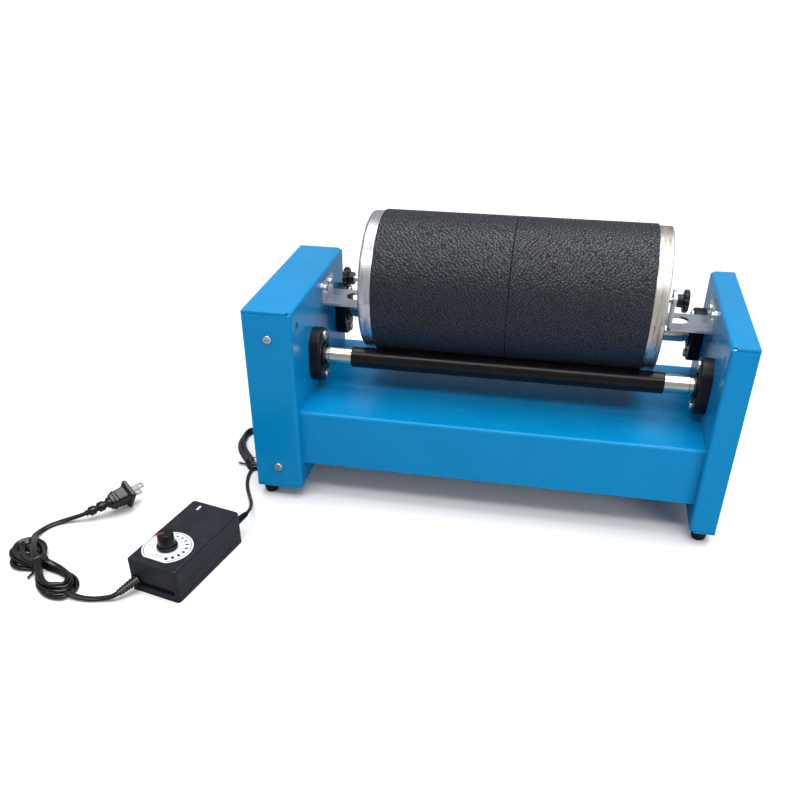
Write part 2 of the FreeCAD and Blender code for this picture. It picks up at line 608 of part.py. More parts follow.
def make_stops():
    right = stop_bracket()
    save("stop_bracket_right", right)
    save("stop_bracket_left", mirrored(right))
    y = BARREL_Y
    z = BARREL_Z
    bumper = rod(BARREL_RIGHT + 0.8, BARREL_RIGHT + 5.8, y, z, 6.5)
    bumper = bumper.makeFillet(1.2, [edge for edge in bumper.Edges
                                     if near(edge.CenterOfMass.x, BARREL_RIGHT + 0.8)])
    stud = rod(BARREL_RIGHT + 3, TAB_OUTER + 11.7, y, z, STUD_RADIUS)
    bumper = bumper.cut(rod(BARREL_RIGHT + 3, BARREL_RIGHT + 8, y, z, STUD_RADIUS))
    neck = TAB_OUTER + 2.0
    knob = joined(rod(neck, neck + 5.5, y, z, 6.5), rod(neck + 5.5, neck + 11, y, z, 11.5))
    knob = rounded(knob, 1.8, lambda p: near(p.x, neck + 11) or
                   (near(p.x, neck + 5.5) and math.hypot(p.y - y, p.z - z) > 11))
    for number in range(12):
        angle = number * math.pi / 6
        knob = knob.cut(rod(neck + 5, neck + 12, y + 12.4 * math.cos(angle),
                            z + 12.4 * math.sin(angle), 1.9))
    knob = knob.cut(rod(neck - 1, TAB_OUTER + 12, y, z, STUD_RADIUS + 0.05))
    backed_off = V(-STOP_TRAVEL, 0, 0)
    for name, shape in (("stop_bumper", bumper), ("stop_stud", stud), ("stop_knob", knob)):
        save(name + "_right", shape)
        save(name + "_left", mirrored(shape).translated(backed_off))


# --- pan-head screws, all of one size -----------------------------------------------------------
def make_screws():
    """They hold the drive cover, the bearing housings, the stop brackets and the feet."""
    screws = []
    for z in COVER_SCREW_Z:
        screws.append(pan_screw(V(COVER_SCREW_X, FRONT + 10, z), V(0, -1, 0), 10))
        screws.append(pan_screw(V(COVER_SCREW_X, BACK - 10, z), V(0, 1, 0), 10))

    for y, z in ROLLERS.values():
        for dz in (-HOUSING_SCREW_PITCH / 2, HOUSING_SCREW_PITCH / 2):
            screw = pan_screw(V(LEFT_WALL - 5, y, z + dz), V(1, 0, 0), 5 + HOUSING_DEPTH)
            screws += [screw, mirrored(screw)]
    for dy in BRACKET_SCREWS:
        screw = pan_screw(V(LEFT_WALL - 5, BRACKET_Y + dy, BRACKET_SCREW_Z), V(1, 0, 0),
                          5 + BRACKET_SHEET)
        screws += [screw, mirrored(screw)]
    for x, y in FOOT_PLACES:
        screws.append(pan_screw(V(x, y, 5.5), V(0, 0, 1), BOTTOM + SHEET - 5.5))
    save("pan_head_screws", *screws)


# --- speed controller ---------------------------------------------------------------------------
def on_adapter(shape):
    """Moves a shape from the controller's own frame to where it lies."""
    shape = shape.copy()
    turn = FreeCAD.Rotation(V(0, 0, 1), ADAPTER_TURN)
    shape.Placement = FreeCAD.Placement(ADAPTER, turn).multiply(shape.Placement)
    return shape


def adapter_point(x, y, z):
    turn = FreeCAD.Rotation(V(0, 0, 1), ADAPTER_TURN)
    return ADAPTER + turn.multVec(V(x, y, z))


MAINS_ROOT = V(-20.0, -54.0, 13.0)
MAINS_TIP = V(-28.5, -72.0, 7.0)
DC_ROOT = V(20.0, 54.0, 20.0)
DC_TIP = V(21.5, 74.0, 20.0)


def relief(root, tip, root_radius, tip_radius):
    """A tapered strain relief with a flange inside the housing wall."""
    along = tip - root
    length = along.Length
    along.normalize()
    body = Part.makeCone(root_radius, tip_radius, length, root, along)
    return joined(body, Part.makeCylinder(root_radius, 4, root - along * 3.5, along))


def make_adapter():
    half_w = ADAPTER_WIDTH / 2
    half_l = ADAPTER_LENGTH / 2
    wall = 2.2
    base = block(-half_w, half_w, -half_l, half_l, 0, ADAPTER_SPLIT)
    upright = [edge for edge in base.Edges if near(edge.Vertexes[0].X, edge.Vertexes[1].X)
               and near(edge.Vertexes[0].Y, edge.Vertexes[1].Y)]
    base = base.makeFillet(3.5, upright)
    base = base.cut(block(-half_w + wall, half_w - wall, -half_l + wall + 3, half_l - wall,
                          wall, ADAPTER_SPLIT + 1))
    groove = block(-23, 23, -half_l - 1, -half_l + 3, 7, 14)
    base = base.cut(groove)
    lid = block(-half_w, half_w, -half_l, half_l, ADAPTER_SPLIT + 0.3, ADAPTER_HEIGHT)
    upright = [edge for edge in lid.Edges if near(edge.Vertexes[0].X, edge.Vertexes[1].X)
               and near(edge.Vertexes[0].Y, edge.Vertexes[1].Y)]
    lid = lid.makeFillet(3.5, upright)
    lid = lid.makeFillet(1.8, [edge for edge in lid.Edges
                               if all(near(v.Z, ADAPTER_HEIGHT) for v in edge.Vertexes)])
    lid = lid.cut(block(-half_w + wall, half_w - wall, -half_l + wall, half_l - wall,
                        ADAPTER_SPLIT - 1, ADAPTER_HEIGHT - wall))
    lid = lid.cut(post(DIAL_X, DIAL_Y, ADAPTER_HEIGHT - 5, ADAPTER_HEIGHT + 1, 3.6))
    lens_x = -13.6
    lens_y = 43.0
    lid = lid.cut(block(lens_x - 1.1, lens_x + 1.1, lens_y - 3.6, lens_y + 3.6,
                        ADAPTER_HEIGHT - 4, ADAPTER_HEIGHT + 1))
    mains = relief(MAINS_ROOT, MAINS_TIP, 5.6, 3.9)
    dc = relief(DC_ROOT, DC_TIP, 4.8, 2.9)
    bigger_mains = relief(MAINS_ROOT, MAINS_TIP, 5.7, 4.0)
    bigger_dc = relief(DC_ROOT, DC_TIP, 4.9, 3.0)
    save("adapter_base", on_adapter(base.cut(bigger_mains).cut(bigger_dc)))
    save("adapter_top", on_adapter(lid.cut(bigger_mains).cut(bigger_dc)))
    save("adapter_reliefs", on_adapter(mains), on_adapter(dc))

    plate = post(DIAL_X, DIAL_Y, ADAPTER_HEIGHT, ADAPTER_HEIGHT + 0.4, DIAL_RADIUS)
    plate = plate.cut(block(-40, 40, -80, DIAL_Y - 21, 30, 40))
    plate = plate.cut(post(DIAL_X, DIAL_Y, 30, 40, 3.6))
    save("dial_plate", on_adapter(plate))

    pot = joined(post(DIAL_X, DIAL_Y, 22, ADAPTER_HEIGHT - wall, 8.2),
                 post(DIAL_X, DIAL_Y, 30, ADAPTER_HEIGHT + 1, 3.5))
    pot = pot.cut(post(DIAL_X, DIAL_Y, 25, 40, STUD_RADIUS + 0.05))
    save("potentiometer", on_adapter(pot))
    save("knob_spindle", on_adapter(post(DIAL_X, DIAL_Y, 25.5, ADAPTER_HEIGHT + 12, STUD_RADIUS)))

    z0 = ADAPTER_HEIGHT + 1.2
    knob = post(DIAL_X, DIAL_Y, z0, z0 + 3, 10)
    knob = knob.makeFillet(1, [edge for edge in knob.Edges if near(edge.CenterOfMass.z, z0 + 3)])
    cap = Part.makeCone(8.2, 7.4, 13.5, V(DIAL_X, DIAL_Y, z0 + 3), V(0, 0, 1))
    cap = cap.makeFillet(0.6, [edge for edge in cap.Edges if near(edge.CenterOfMass.z, z0 + 16.5)])
    knob = joined(knob, cap)
    for number in range(18):
        angle = number * math.pi / 9
        knob = knob.cut(post(DIAL_X + 8.5 * math.cos(angle), DIAL_Y + 8.5 * math.sin(angle),
                             z0 + 4, z0 + 18, 0.6))
    knob = knob.cut(post(DIAL_X, DIAL_Y, z0 - 1, ADAPTER_HEIGHT + 12, STUD_RADIUS))
    save("speed_knob", on_adapter(knob))

    save("indicator_lens", on_adapter(block(lens_x - 1, lens_x + 1, lens_y - 3.5, lens_y + 3.5,
                                            ADAPTER_HEIGHT - 4, ADAPTER_HEIGHT + 0.3)))
    board = block(-half_w + 5, half_w - 5, -half_l + 12, half_l - 8, 6, 7.6)
    board = joined(board, block(-12, 12, 10, 34, 7.6, 26), post(-10, 0, 7.6, 20, 6),
                   post(12, -8, 7.6, 18, 5))
    for x, y in ((-19, -40), (19, -40), (-19, 40), (19, 40)):
        board = joined(board, block(x - 2, x + 2, y - 2, y + 2, wall, 6))
    save("controller_board", on_adapter(board))


# --- mains plug ---------------------------------------------------------------------------------
PLUG_FACE = V(-369.2, -151.1, 17.0)    # centre of the face that the blades stand on
PLUG_AXIS = V(0.5105, 0.8599, 0)
PLUG_ROLL = 31.7                       # degrees that it leans towards its side
PLUG_LENGTH = 24.0
PLUG_RELIEF_TIP = V(-403.2, -185.4, 9.0)


def plug_frame():
    """Local X across the plug, Y along the blades, Z along the line between them."""
    along = V(PLUG_AXIS).normalize()
    across = along.cross(V(0, 0, 1)).normalize()
    roll = math.radians(PLUG_ROLL)
    wide = V(0, 0, 1) * math.cos(roll) + across * math.sin(roll)
    return FreeCAD.Placement(PLUG_FACE, FreeCAD.Rotation(across * math.cos(roll)
                             - V(0, 0, 1) * math.sin(roll), along, wide, "XYZ"))


def make_plug():
    frame = plug_frame()
    flange = block(-11, 11, -5, 0, -12.7, 12.7)
    flange = flange.makeFillet(2.5, [edge for edge in flange.Edges
                                     if near(edge.Vertexes[0].X, edge.Vertexes[1].X)
                                     and near(edge.Vertexes[0].Z, edge.Vertexes[1].Z)])
    wires = []
    for y, half_x, half_z in ((-4.5, 9.4, 11), (-7, 7.5, 8.7), (-PLUG_LENGTH, 6.6, 7.4)):
        corners = [V(-half_x, y, -half_z), V(half_x, y, -half_z), V(half_x, y, half_z),
                   V(-half_x, y, half_z), V(-half_x, y, -half_z)]
        wires.append(Part.makePolygon(corners))
    body = joined(flange, Part.makeLoft(wires, True, True))
    for z in (-6.35, 6.35):
        body = body.cut(block(-3.2, 3.2, -6, 1, z - 0.8, z + 0.8))
    body.Placement = frame
    root = frame.multVec(V(0, -PLUG_LENGTH, 0))
    along = PLUG_RELIEF_TIP - root
    length = along.Length
    sleeve = Part.makeCone(6.2, 5.2, length, root, along.normalize())
    save("plug_body", joined(body, sleeve))
    blades = []
    for z in (-6.35, 6.35):
        blade = block(-3.15, 3.15, -6, 16, z - 0.75, z + 0.75)
        blade = blade.cut(Part.makeCylinder(1.6, 4, V(0, 12, z - 2), V(0, 0, 1)))
        blade.Placement = frame
        blades.append(blade)
    save("plug_blades", *blades)


# --- leads --------------------------------------------------------------------------------------
HANK = V(-406.0, -272.0, 0)            # where the mains lead's hank is tied
HANK_TURN = -33.8
COIL = V(-277.5, -10.0, 0)
COIL_TURN = 109.9
HANK_HEIGHT = 16.0
COIL_HEIGHT = 10.0


def placed(shape, origin, turn):
    shape.Placement = FreeCAD.Placement(origin, FreeCAD.Rotation(V(0, 0, 1), turn))
    return shape


def oval(half_length, half_width, centre, height):
    ring = Part.Ellipse(V(centre, 0, 0), half_length, half_width)
    return Part.Face(Part.Wire([ring.toShape()])).extrude(V(0, 0, height))


MAINS_TO_HANK = [(-323, -301.5, 4.6), (-336, -305.5, 3.2), (-350, -306.5, 3.4)]
HANK_TO_PLUG = [(-438, -229, 5.4), (-440.5, -217.5, 3.4), (-437, -206, 3.2), (-429.5, -197, 3.2),
                (-416, -190.2, 5.2)]
GLAND_TO_COIL = [(-263, 30.5, 46.5), (-274.5, 31, 38), (-283.5, 31, 25), (-288, 30.5, 13.5)]
COIL_TO_ADAPTER = [(-265.5, -66, 2.2), (-262.5, -80, 2.2), (-257.5, -93.5, 2.3), (-250.5, -107.5, 3),
                   (-243, -122, 6), (-236.5, -137, 11.5), (-231.5, -152, 17.5)]


def make_leads():
    hank = joined(oval(29, 20, 29.5, HANK_HEIGHT), oval(29, 20, -28, HANK_HEIGHT),
                  block(-9, 9, -9, 9, 0, HANK_HEIGHT))
    coil = oval(46, 20, 0, COIL_HEIGHT)
    hank_tie = block(-1.5, 1.5, -10.2, 10.2, 0.5, HANK_HEIGHT + 1.2).cut(hank)
    coil_tie = block(-39.5, -36.5, -14, 14, 0.5, COIL_HEIGHT + 1.2).cut(coil)
    save("mains_hank", placed(hank, HANK, HANK_TURN))
    save("dc_coil", placed(coil, COIL, COIL_TURN))
    save("cord_ties", placed(hank_tie, HANK, HANK_TURN), placed(coil_tie, COIL, COIL_TURN))

    start = adapter_point(*MAINS_TIP)
    cord_tube("mains_cord_adapter_end", [tuple(start)] + MAINS_TO_HANK + [(-363, -305.5, 4.5)],
              MAINS_DIAMETER)
    cord_tube("mains_cord_plug_end", [(-431.5, -238.5, 9)] + HANK_TO_PLUG + [tuple(PLUG_RELIEF_TIP)],
              MAINS_DIAMETER)
    start = (LEFT - 12, GLAND_Y, GLAND_Z)
    cord_tube("dc_cord_machine_end", [start] + GLAND_TO_COIL + [(-289, 29, 5)], DC_DIAMETER)
    end = adapter_point(*DC_TIP)
    cord_tube("dc_cord_adapter_end", [(-264.5, -53, 3)] + COIL_TO_ADAPTER + [tuple(end)], DC_DIAMETER)


os.makedirs("parts", exist_ok=True)
make_end_frames()
make_cover()
make_base()
make_feet()
make_housings()
make_bearings()
make_rollers()
make_drive()
make_gland()
make_barrel()
make_lid()
make_stops()
make_screws()
make_adapter()
make_plug()
make_leads()
print("barrel axis", round(BARREL_Y, 3), round(BARREL_Z, 3))
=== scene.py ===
"""Looks of the rotary rock tumbler.

The CAD nodes get their finishes. The grained bands, the dial's marks, the knob's pointer, the strain
reliefs, the plug's grip, both leads and their ties are made here.
"""
import json
import math

import bmesh
import bpy
from mathutils import Matrix, Vector, noise


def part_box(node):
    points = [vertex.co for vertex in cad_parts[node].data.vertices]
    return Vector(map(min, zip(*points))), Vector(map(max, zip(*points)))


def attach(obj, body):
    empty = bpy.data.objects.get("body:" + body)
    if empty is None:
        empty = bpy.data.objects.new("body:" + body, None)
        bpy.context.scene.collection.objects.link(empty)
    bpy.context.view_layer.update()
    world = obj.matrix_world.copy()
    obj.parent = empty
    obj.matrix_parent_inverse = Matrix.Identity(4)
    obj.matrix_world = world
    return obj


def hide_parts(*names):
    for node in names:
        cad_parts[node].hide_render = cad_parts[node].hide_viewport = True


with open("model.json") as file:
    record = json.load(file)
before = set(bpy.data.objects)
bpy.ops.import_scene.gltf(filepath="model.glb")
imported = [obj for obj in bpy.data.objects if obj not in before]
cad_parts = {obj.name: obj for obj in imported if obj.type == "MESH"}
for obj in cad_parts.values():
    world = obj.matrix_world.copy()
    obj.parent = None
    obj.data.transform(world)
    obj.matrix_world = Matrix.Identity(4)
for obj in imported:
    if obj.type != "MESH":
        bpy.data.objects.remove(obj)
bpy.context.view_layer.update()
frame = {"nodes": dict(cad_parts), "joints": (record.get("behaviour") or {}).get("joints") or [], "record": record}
nodes = frame["nodes"]
MM = 0.001


# --- places read from the frame -----------------------------------------------------------------
def joint_place(name):
    return Vector(next(joint["pos_m"] for joint in frame["joints"] if joint["name"] == name))


def centre_of(node):
    low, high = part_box(node)
    return (low + high) / 2


def top_of(node):
    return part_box(node)[1].z


BARREL_AXIS = joint_place("barrel_spin")
DIAL_CENTRE = joint_place("speed_knob_turn")

CONTROLLER_CENTRE = Vector((-268, -234, 0)) * MM      # of its underside
CONTROLLER_TURN = math.radians(-12.9)
CONTROLLER_PLACE = Matrix.Translation(CONTROLLER_CENTRE) @ Matrix.Rotation(CONTROLLER_TURN, 4, "Z")


def on_controller(x, y, z):
    """A point given in millimetres from the middle of the controller's underside."""
    return CONTROLLER_PLACE @ (Vector((x, y, z)) * MM)


# where each strain relief leaves the controller and where it ends
MAINS_ROOT = on_controller(-20, -54, 13)
MAINS_TIP = on_controller(-28.5, -72, 7)
DC_ROOT = on_controller(20, 54, 20)
DC_TIP = on_controller(21.5, 74, 20)
GLAND_END = Vector((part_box("dc_gland")[0].x, centre_of("dc_gland").y, centre_of("dc_gland").z))


# --- shader helpers -----------------------------------------------------------------------------
def add_node(tree, kind, settings=None, **values):
    """A node with its properties from settings and its input sockets from values."""
    made = tree.nodes.new(kind)
    for name, value in (settings or {}).items():
        setattr(made, name, value)
    for name, value in values.items():
        made.inputs[name.replace("_", " ")].default_value = value
    return made


def wire(tree, source, target):
    tree.links.new(source, target)


def maths(tree, operation, first, second):
    """A Math node; first and second are sockets or numbers."""
    made = add_node(tree, "ShaderNodeMath", {"operation": operation})
    for number, value in enumerate((first, second)):
        if isinstance(value, (int, float)):
            made.inputs[number].default_value = value
        else:
            wire(tree, value, made.inputs[number])
    return made.outputs[0]


def remapped(tree, value, low, high, new_low, new_high):
    made = add_node(tree, "ShaderNodeMapRange", None, From_Min=low, From_Max=high,
                    To_Min=new_low, To_Max=new_high)
    wire(tree, value, made.inputs["Value"])
    return made.outputs["Result"]


def mixed(tree, share, first, second):
    """A colour between two; each is a colour or a socket."""
    made = add_node(tree, "ShaderNodeMix", {"data_type": "RGBA"})
    wire(tree, share, made.inputs["Factor"])
    for socket, value in ((made.inputs[6], first), (made.inputs[7], second)):
        if isinstance(value, tuple):
            socket.default_value = (*value, 1)
        else:
            wire(tree, value, socket)
    return made.outputs[2]


def new_group(name, inputs, outputs):
    """An empty node group; inputs and outputs map a socket's name to (socket type, default)."""
    tree = bpy.data.node_groups.new(name, "ShaderNodeTree")
    for way, sockets in (("INPUT", inputs), ("OUTPUT", outputs)):
        for socket, (kind, default) in sockets.items():
            made = tree.interface.new_socket(name=socket, in_out=way, socket_type="NodeSocket" + kind)
            if default is not None:
                made.default_value = default
    source = tree.nodes.new("NodeGroupInput")
    target = tree.nodes.new("NodeGroupOutput")
    return tree, source.outputs, target.inputs


def noise_socket(tree, vector, scale, detail, roughness):
    made = add_node(tree, "ShaderNodeTexNoise", None, Detail=detail, Roughness=roughness)
    wire(tree, vector, made.inputs["Vector"])
    wire(tree, scale, made.inputs["Scale"])
    return made.outputs["Fac"]


# --- effects that several materials share -------------------------------------------------------
def make_blotch_group():
    """Large soft patches, for handling marks and uneven gloss."""
    tree, given, out = new_group("handling_marks", {
        "Vector": ("Vector", None), "Scale": ("Float", 20.0),
        "Low": ("Float", 0.0), "High": ("Float", 1.0)}, {"Value": ("Float", 0.0)})
    patches = noise_socket(tree, given["Vector"], given["Scale"], 4.0, 0.6)
    spread = add_node(tree, "ShaderNodeMapRange", None, From_Min=0.35, From_Max=0.65)
    wire(tree, patches, spread.inputs["Value"])
    wire(tree, given["Low"], spread.inputs["To Min"])
    wire(tree, given["High"], spread.inputs["To Max"])
    wire(tree, spread.outputs["Result"], out["Value"])
    return tree


def make_peel_group():
    """The small rounded bumps of powder coat and of spark-eroded moulds."""
    tree, given, out = new_group("surface_peel", {
        "Vector": ("Vector", None), "Scale": ("Float", 700.0)}, {"Height": ("Float", 0.0)})
    coarse = noise_socket(tree, given["Vector"], given["Scale"], 2.0, 0.5)
    finer = maths(tree, "MULTIPLY", given["Scale"], 2.7)
    fine = noise_socket(tree, given["Vector"], finer, 1.0, 0.5)
    wire(tree, maths(tree, "ADD", coarse, maths(tree, "MULTIPLY", fine, 0.4)), out["Height"])
    return tree


def make_turned_group():
    """Fine tool lines round the X axis, with scuffs that run a little way round."""
    tree, given, out = new_group("turned_lines", {
        "Vector": ("Vector", None), "Lines": ("Float", 900.0), "Scuffs": ("Float", 40.0)},
        {"Lines": ("Float", 0.0), "Scuffs": ("Float", 0.0)})
    parts = tree.nodes.new("ShaderNodeSeparateXYZ")
    wire(tree, given["Vector"], parts.inputs[0])
    x, y, z = parts.outputs
    squares = maths(tree, "ADD", maths(tree, "MULTIPLY", y, y), maths(tree, "MULTIPLY", z, z))
    across = maths(tree, "POWER", squares, 0.5)
    angle = maths(tree, "ARCTAN2", z, y)
    # for each effect: how far its pattern is squeezed along the axis and round it, detail, roughness
    for name, along, around, detail, roughness in (("Lines", 1.0, 0.0006, 3.0, 0.6),
                                                   ("Scuffs", 5.0, 0.05, 5.0, 0.65)):
        place = tree.nodes.new("ShaderNodeCombineXYZ")
        wire(tree, maths(tree, "MULTIPLY", x, along), place.inputs[0])
        wire(tree, across, place.inputs[1])
        wire(tree, maths(tree, "MULTIPLY", angle, around), place.inputs[2])
        wire(tree, noise_socket(tree, place.outputs[0], given[name], detail, roughness), out[name])
    return tree


BLOTCH = make_blotch_group()
PEEL = make_peel_group()
TURNED = make_turned_group()


class Finish:
    """A material being wired: its tree, its shader and its object coordinates."""

    def __init__(self, name, colour, centre=(0, 0, 0), **constants):
        self.material = bpy.data.materials.new(name)
        self.material.use_nodes = True
        self.tree = self.material.node_tree
        self.shader = self.tree.nodes["Principled BSDF"]
        self.shader.inputs["Base Color"].default_value = (*colour, 1)
        for socket, value in constants.items():
            self.shader.inputs[socket.replace("_", " ")].default_value = value
        where = self.tree.nodes.new("ShaderNodeTexCoord")
        shifted = add_node(self.tree, "ShaderNodeMapping", None, Location=[-value for value in centre])
        wire(self.tree, where.outputs["Object"], shifted.inputs["Vector"])
        self.place = shifted.outputs["Vector"]

    def group(self, tree, **values):
        made = add_node(self.tree, "ShaderNodeGroup", {"node_tree": tree}, **values)
        wire(self.tree, self.place, made.inputs["Vector"])
        return made.outputs

    def feed(self, socket, value):
        wire(self.tree, value, self.shader.inputs[socket])

    def bump(self, height, distance, strength):
        made = add_node(self.tree, "ShaderNodeBump", None, Distance=distance, Strength=strength)
        wire(self.tree, height, made.inputs["Height"])
        wire(self.tree, made.outputs["Normal"], self.shader.inputs["Normal"])


# --- finishes -----------------------------------------------------------------------------------
def powder_coat():
    finish = Finish("blue_powder_coat", (0.0, 0.235, 0.53), Specular_IOR_Level=0.2)
    patches = finish.group(BLOTCH, Scale=9.0, Low=0.0, High=1.0)["Value"]
    finish.feed("Base Color", mixed(finish.tree, patches, (0.0, 0.225, 0.51), (0.0, 0.243, 0.545)))
    finish.feed("Roughness", finish.group(BLOTCH, Scale=35.0, Low=0.2, High=0.3)["Value"])
    finish.bump(finish.group(PEEL, Scale=420.0)["Height"], 0.0001, 0.5)
    return finish.material


def zinc_plate():
    finish = Finish("zinc_plate", (0.55, 0.6, 0.66), Metallic=1.0)
    patches = finish.group(BLOTCH, Scale=110.0, Low=0.0, High=1.0)["Value"]
    finish.feed("Base Color", mixed(finish.tree, patches, (0.5, 0.55, 0.62), (0.6, 0.64, 0.69)))
    finish.feed("Roughness", finish.group(BLOTCH, Scale=60.0, Low=0.26, High=0.36)["Value"])
    finish.bump(finish.group(PEEL, Scale=900.0)["Height"], 0.00002, 0.3)
    return finish.material


def turned_metal(name, light, dark, rough, scuffs, line_depth):
    """Metal cut on a lathe: lines round the barrel's axis, and scuffed patches of another tone.

    scuffs holds the patches' scale, and the noise values at which a patch begins and is full."""
    finish = Finish(name, light, BARREL_AXIS, Metallic=1.0)
    scuff_scale, clean, worn = scuffs
    marks = finish.group(TURNED, Lines=1500.0, Scuffs=scuff_scale)
    scuffed = remapped(finish.tree, marks["Scuffs"], clean, worn, 0.0, 1.0)
    finish.feed("Base Color", mixed(finish.tree, scuffed, light, dark))
    lines = remapped(finish.tree, marks["Lines"], 0.3, 0.7, rough - 0.07, rough + 0.1)
    finish.feed("Roughness", maths(finish.tree, "ADD", lines, maths(finish.tree, "MULTIPLY", scuffed, 0.12)))
    finish.bump(marks["Lines"], line_depth, 0.5)
    return finish.material


def dark_satin(name, colour, rough, peel_scale, peel_depth, **constants):
    """Black plastics, rubbers and the housings' paint: a fine peel under patchy gloss."""
    finish = Finish(name, colour, **constants)
    patches = finish.group(BLOTCH, Scale=70.0, Low=0.0, High=1.0)["Value"]
    worn = tuple(channel * 1.5 + 0.002 for channel in colour)
    finish.feed("Base Color", mixed(finish.tree, patches, colour, worn))
    finish.feed("Roughness", finish.group(BLOTCH, Scale=45.0, Low=rough, High=rough + 0.08)["Value"])
    finish.bump(finish.group(PEEL, Scale=peel_scale)["Height"], peel_depth, 0.6)
    return finish.material


def plain_gloss(name, colour, rough, **constants):
    """Small plain pieces: even colour with faint patches in the gloss."""
    finish = Finish(name, colour, **constants)
    finish.feed("Roughness", finish.group(BLOTCH, Scale=120.0, Low=rough, High=rough + 0.1)["Value"])
    return finish.material


def band_leather():
    """Embossed vinyl: dull creases round glossier pebbles, which the mesh's grain attribute marks; the creases are
    painted near-black as shade and the pebbles' tops painted lighter as a highlight.
    """
    finish = Finish("textured_black_band", (0.01, 0.011, 0.016), Specular_IOR_Level=0.46)
    pebble = add_node(finish.tree, "ShaderNodeAttribute", {"attribute_name": "grain"}).outputs["Fac"]
    raised = remapped(finish.tree, pebble, 0.3, 0.9, 0.0, 1.0)
    patches = finish.group(BLOTCH, Scale=25.0, Low=0.0, High=1.0)["Value"]
    # the pebbles' tops in a lighter, bluer colour, patchy at random: a painted highlight
    crest_highlight = mixed(finish.tree, patches, (0.012, 0.017, 0.031), (0.018, 0.025, 0.044))
    # the creases painted near-black as shade, the pebbles' tops in the painted highlight
    finish.feed("Base Color", mixed(finish.tree, raised, (0.0008, 0.0008, 0.0015), crest_highlight))
    finish.feed("Roughness", remapped(finish.tree, raised, 0.0, 1.0, 0.8, 0.22))
    finish.bump(finish.group(PEEL, Scale=1600.0)["Height"], 0.00012, 0.6)
    return finish.material


FINISHES = {
    "blue_powder_coat": powder_coat(),
    "zinc_plated_steel": zinc_plate(),
    "roller_steel": plain_gloss("roller_steel", (0.6, 0.585, 0.52), 0.16, Metallic=1.0),
    "worn_aluminium": turned_metal("worn_aluminium", (0.66, 0.67, 0.7), (0.34, 0.35, 0.38), 0.26,
                                   scuffs=(60.0, 0.46, 0.62), line_depth=0.00005),
    "scuffed_aluminium": turned_metal("scuffed_aluminium", (0.66, 0.63, 0.58), (0.3, 0.27, 0.23), 0.3,
                                      scuffs=(46.0, 0.4, 0.62), line_depth=0.00006),
    "bearing_steel": plain_gloss("bearing_steel", (0.72, 0.72, 0.73), 0.12, Metallic=1.0),
    "motor_steel": plain_gloss("motor_steel", (0.42, 0.43, 0.44), 0.35, Metallic=0.8),
    "pulley_aluminium": plain_gloss("pulley_aluminium", (0.74, 0.74, 0.75), 0.28, Metallic=1.0),
    "spindle_brass": plain_gloss("spindle_brass", (0.78, 0.6, 0.3), 0.25, Metallic=1.0),
    "blade_nickel": plain_gloss("blade_nickel", (0.16, 0.158, 0.155), 0.28, Metallic=1.0),
    "dial_white": plain_gloss("dial_white", (0.74, 0.77, 0.8), 0.3),
    "dial_ink": plain_gloss("dial_ink", (0.012, 0.013, 0.016), 0.35),
    "pointer_red": plain_gloss("pointer_red", (0.7, 0.03, 0.07), 0.35),
    "lens_white": plain_gloss("lens_white", (0.85, 0.87, 0.88), 0.25),
    "circuit_board": plain_gloss("circuit_board", (0.015, 0.13, 0.05), 0.4),
    "black_housing": dark_satin("black_housing", (0.003, 0.003, 0.004), 0.34, 900.0, 0.00008,
                                Specular_IOR_Level=0.25),
    "black_rubber": dark_satin("black_rubber", (0.004, 0.004, 0.005), 0.4, 1500.0, 0.00005,
                               Specular_IOR_Level=0.25),
    "sleeve_rubber": dark_satin("sleeve_rubber", (0.002, 0.002, 0.003), 0.2, 500.0, 0.00004,
                                Specular_IOR_Level=0.24),
    "controller_plastic": dark_satin("controller_plastic", (0.006, 0.0075, 0.013), 0.34, 1300.0, 0.00012,
                                     Specular_IOR_Level=0.3),
    "knob_plastic": dark_satin("knob_plastic", (0.003, 0.003, 0.004), 0.24, 1300.0, 0.00003,
                               Specular_IOR_Level=0.3),
    "lead_sheath": dark_satin("lead_sheath", (0.001, 0.001, 0.0015), 0.12, 1500.0, 0.00003,
                              Specular_IOR_Level=0.55),
    "textured_black_band": band_leather(),
}

FINISH_OF_SLOT = {"barrel_steel": "worn_aluminium"}
FINISH_OF_NODE = {
    "drum_shell": "black_rubber",
    "drum_right_rim": "scuffed_aluminium",
    "front_roller_sleeve": "sleeve_rubber",
    "rear_roller_sleeve": "sleeve_rubber",
}


def finish_nodes():
    for part in frame["record"]["subparts"]:
        name = part["node"]
        slot = part["material_slot"]
        finish = FINISHES[FINISH_OF_NODE.get(name, FINISH_OF_SLOT.get(slot, slot))]
        piece = nodes[name]
        if not piece.material_slots:
            piece.data.materials.append(finish)
        for place in piece.material_slots:
            place.material = finish


# --- mesh helpers -------------------------------------------------------------------------------
def new_piece(name, shape, finish, smooth_below=40.0):
    """Makes an object of a bmesh, smooth except at edges sharper than the angle given."""
    mesh = bpy.data.meshes.new(name)
    bmesh.ops.remove_doubles(shape, verts=shape.verts, dist=1e-7)
    bmesh.ops.recalc_face_normals(shape, faces=shape.faces)
    shape.to_mesh(mesh)
    shape.free()
    mesh.materials.append(FINISHES[finish])
    mesh.shade_smooth()
    mesh.set_sharp_from_angle(angle=math.radians(smooth_below))
    piece = bpy.data.objects.new(name, mesh)
    bpy.context.scene.collection.objects.link(piece)
    return piece


def fit(piece, body, slot, *replaced):
    """Joins a new piece to its body, in place of the CAD nodes named; the slot given is not used."""
    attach(piece, body)
    if replaced:
        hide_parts(*replaced)


def lathe(shape, profile, steps, axis, centre):
    """Spins a closed chain of points round an axis."""
    points = [shape.verts.new(point) for point in profile]
    edges = [shape.edges.new((points[i], points[(i + 1) % len(points)])) for i in range(len(points))]
    bmesh.ops.spin(shape, geom=points + edges, cent=centre, axis=axis, angle=2 * math.pi,
                   steps=steps, use_merge=True)


def aimed(root, tip):
    """A placement whose Z axis runs from root to tip."""
    turn = (tip - root).to_track_quat("Z", "Y").to_matrix().to_4x4()
    return Matrix.Translation(root) @ turn


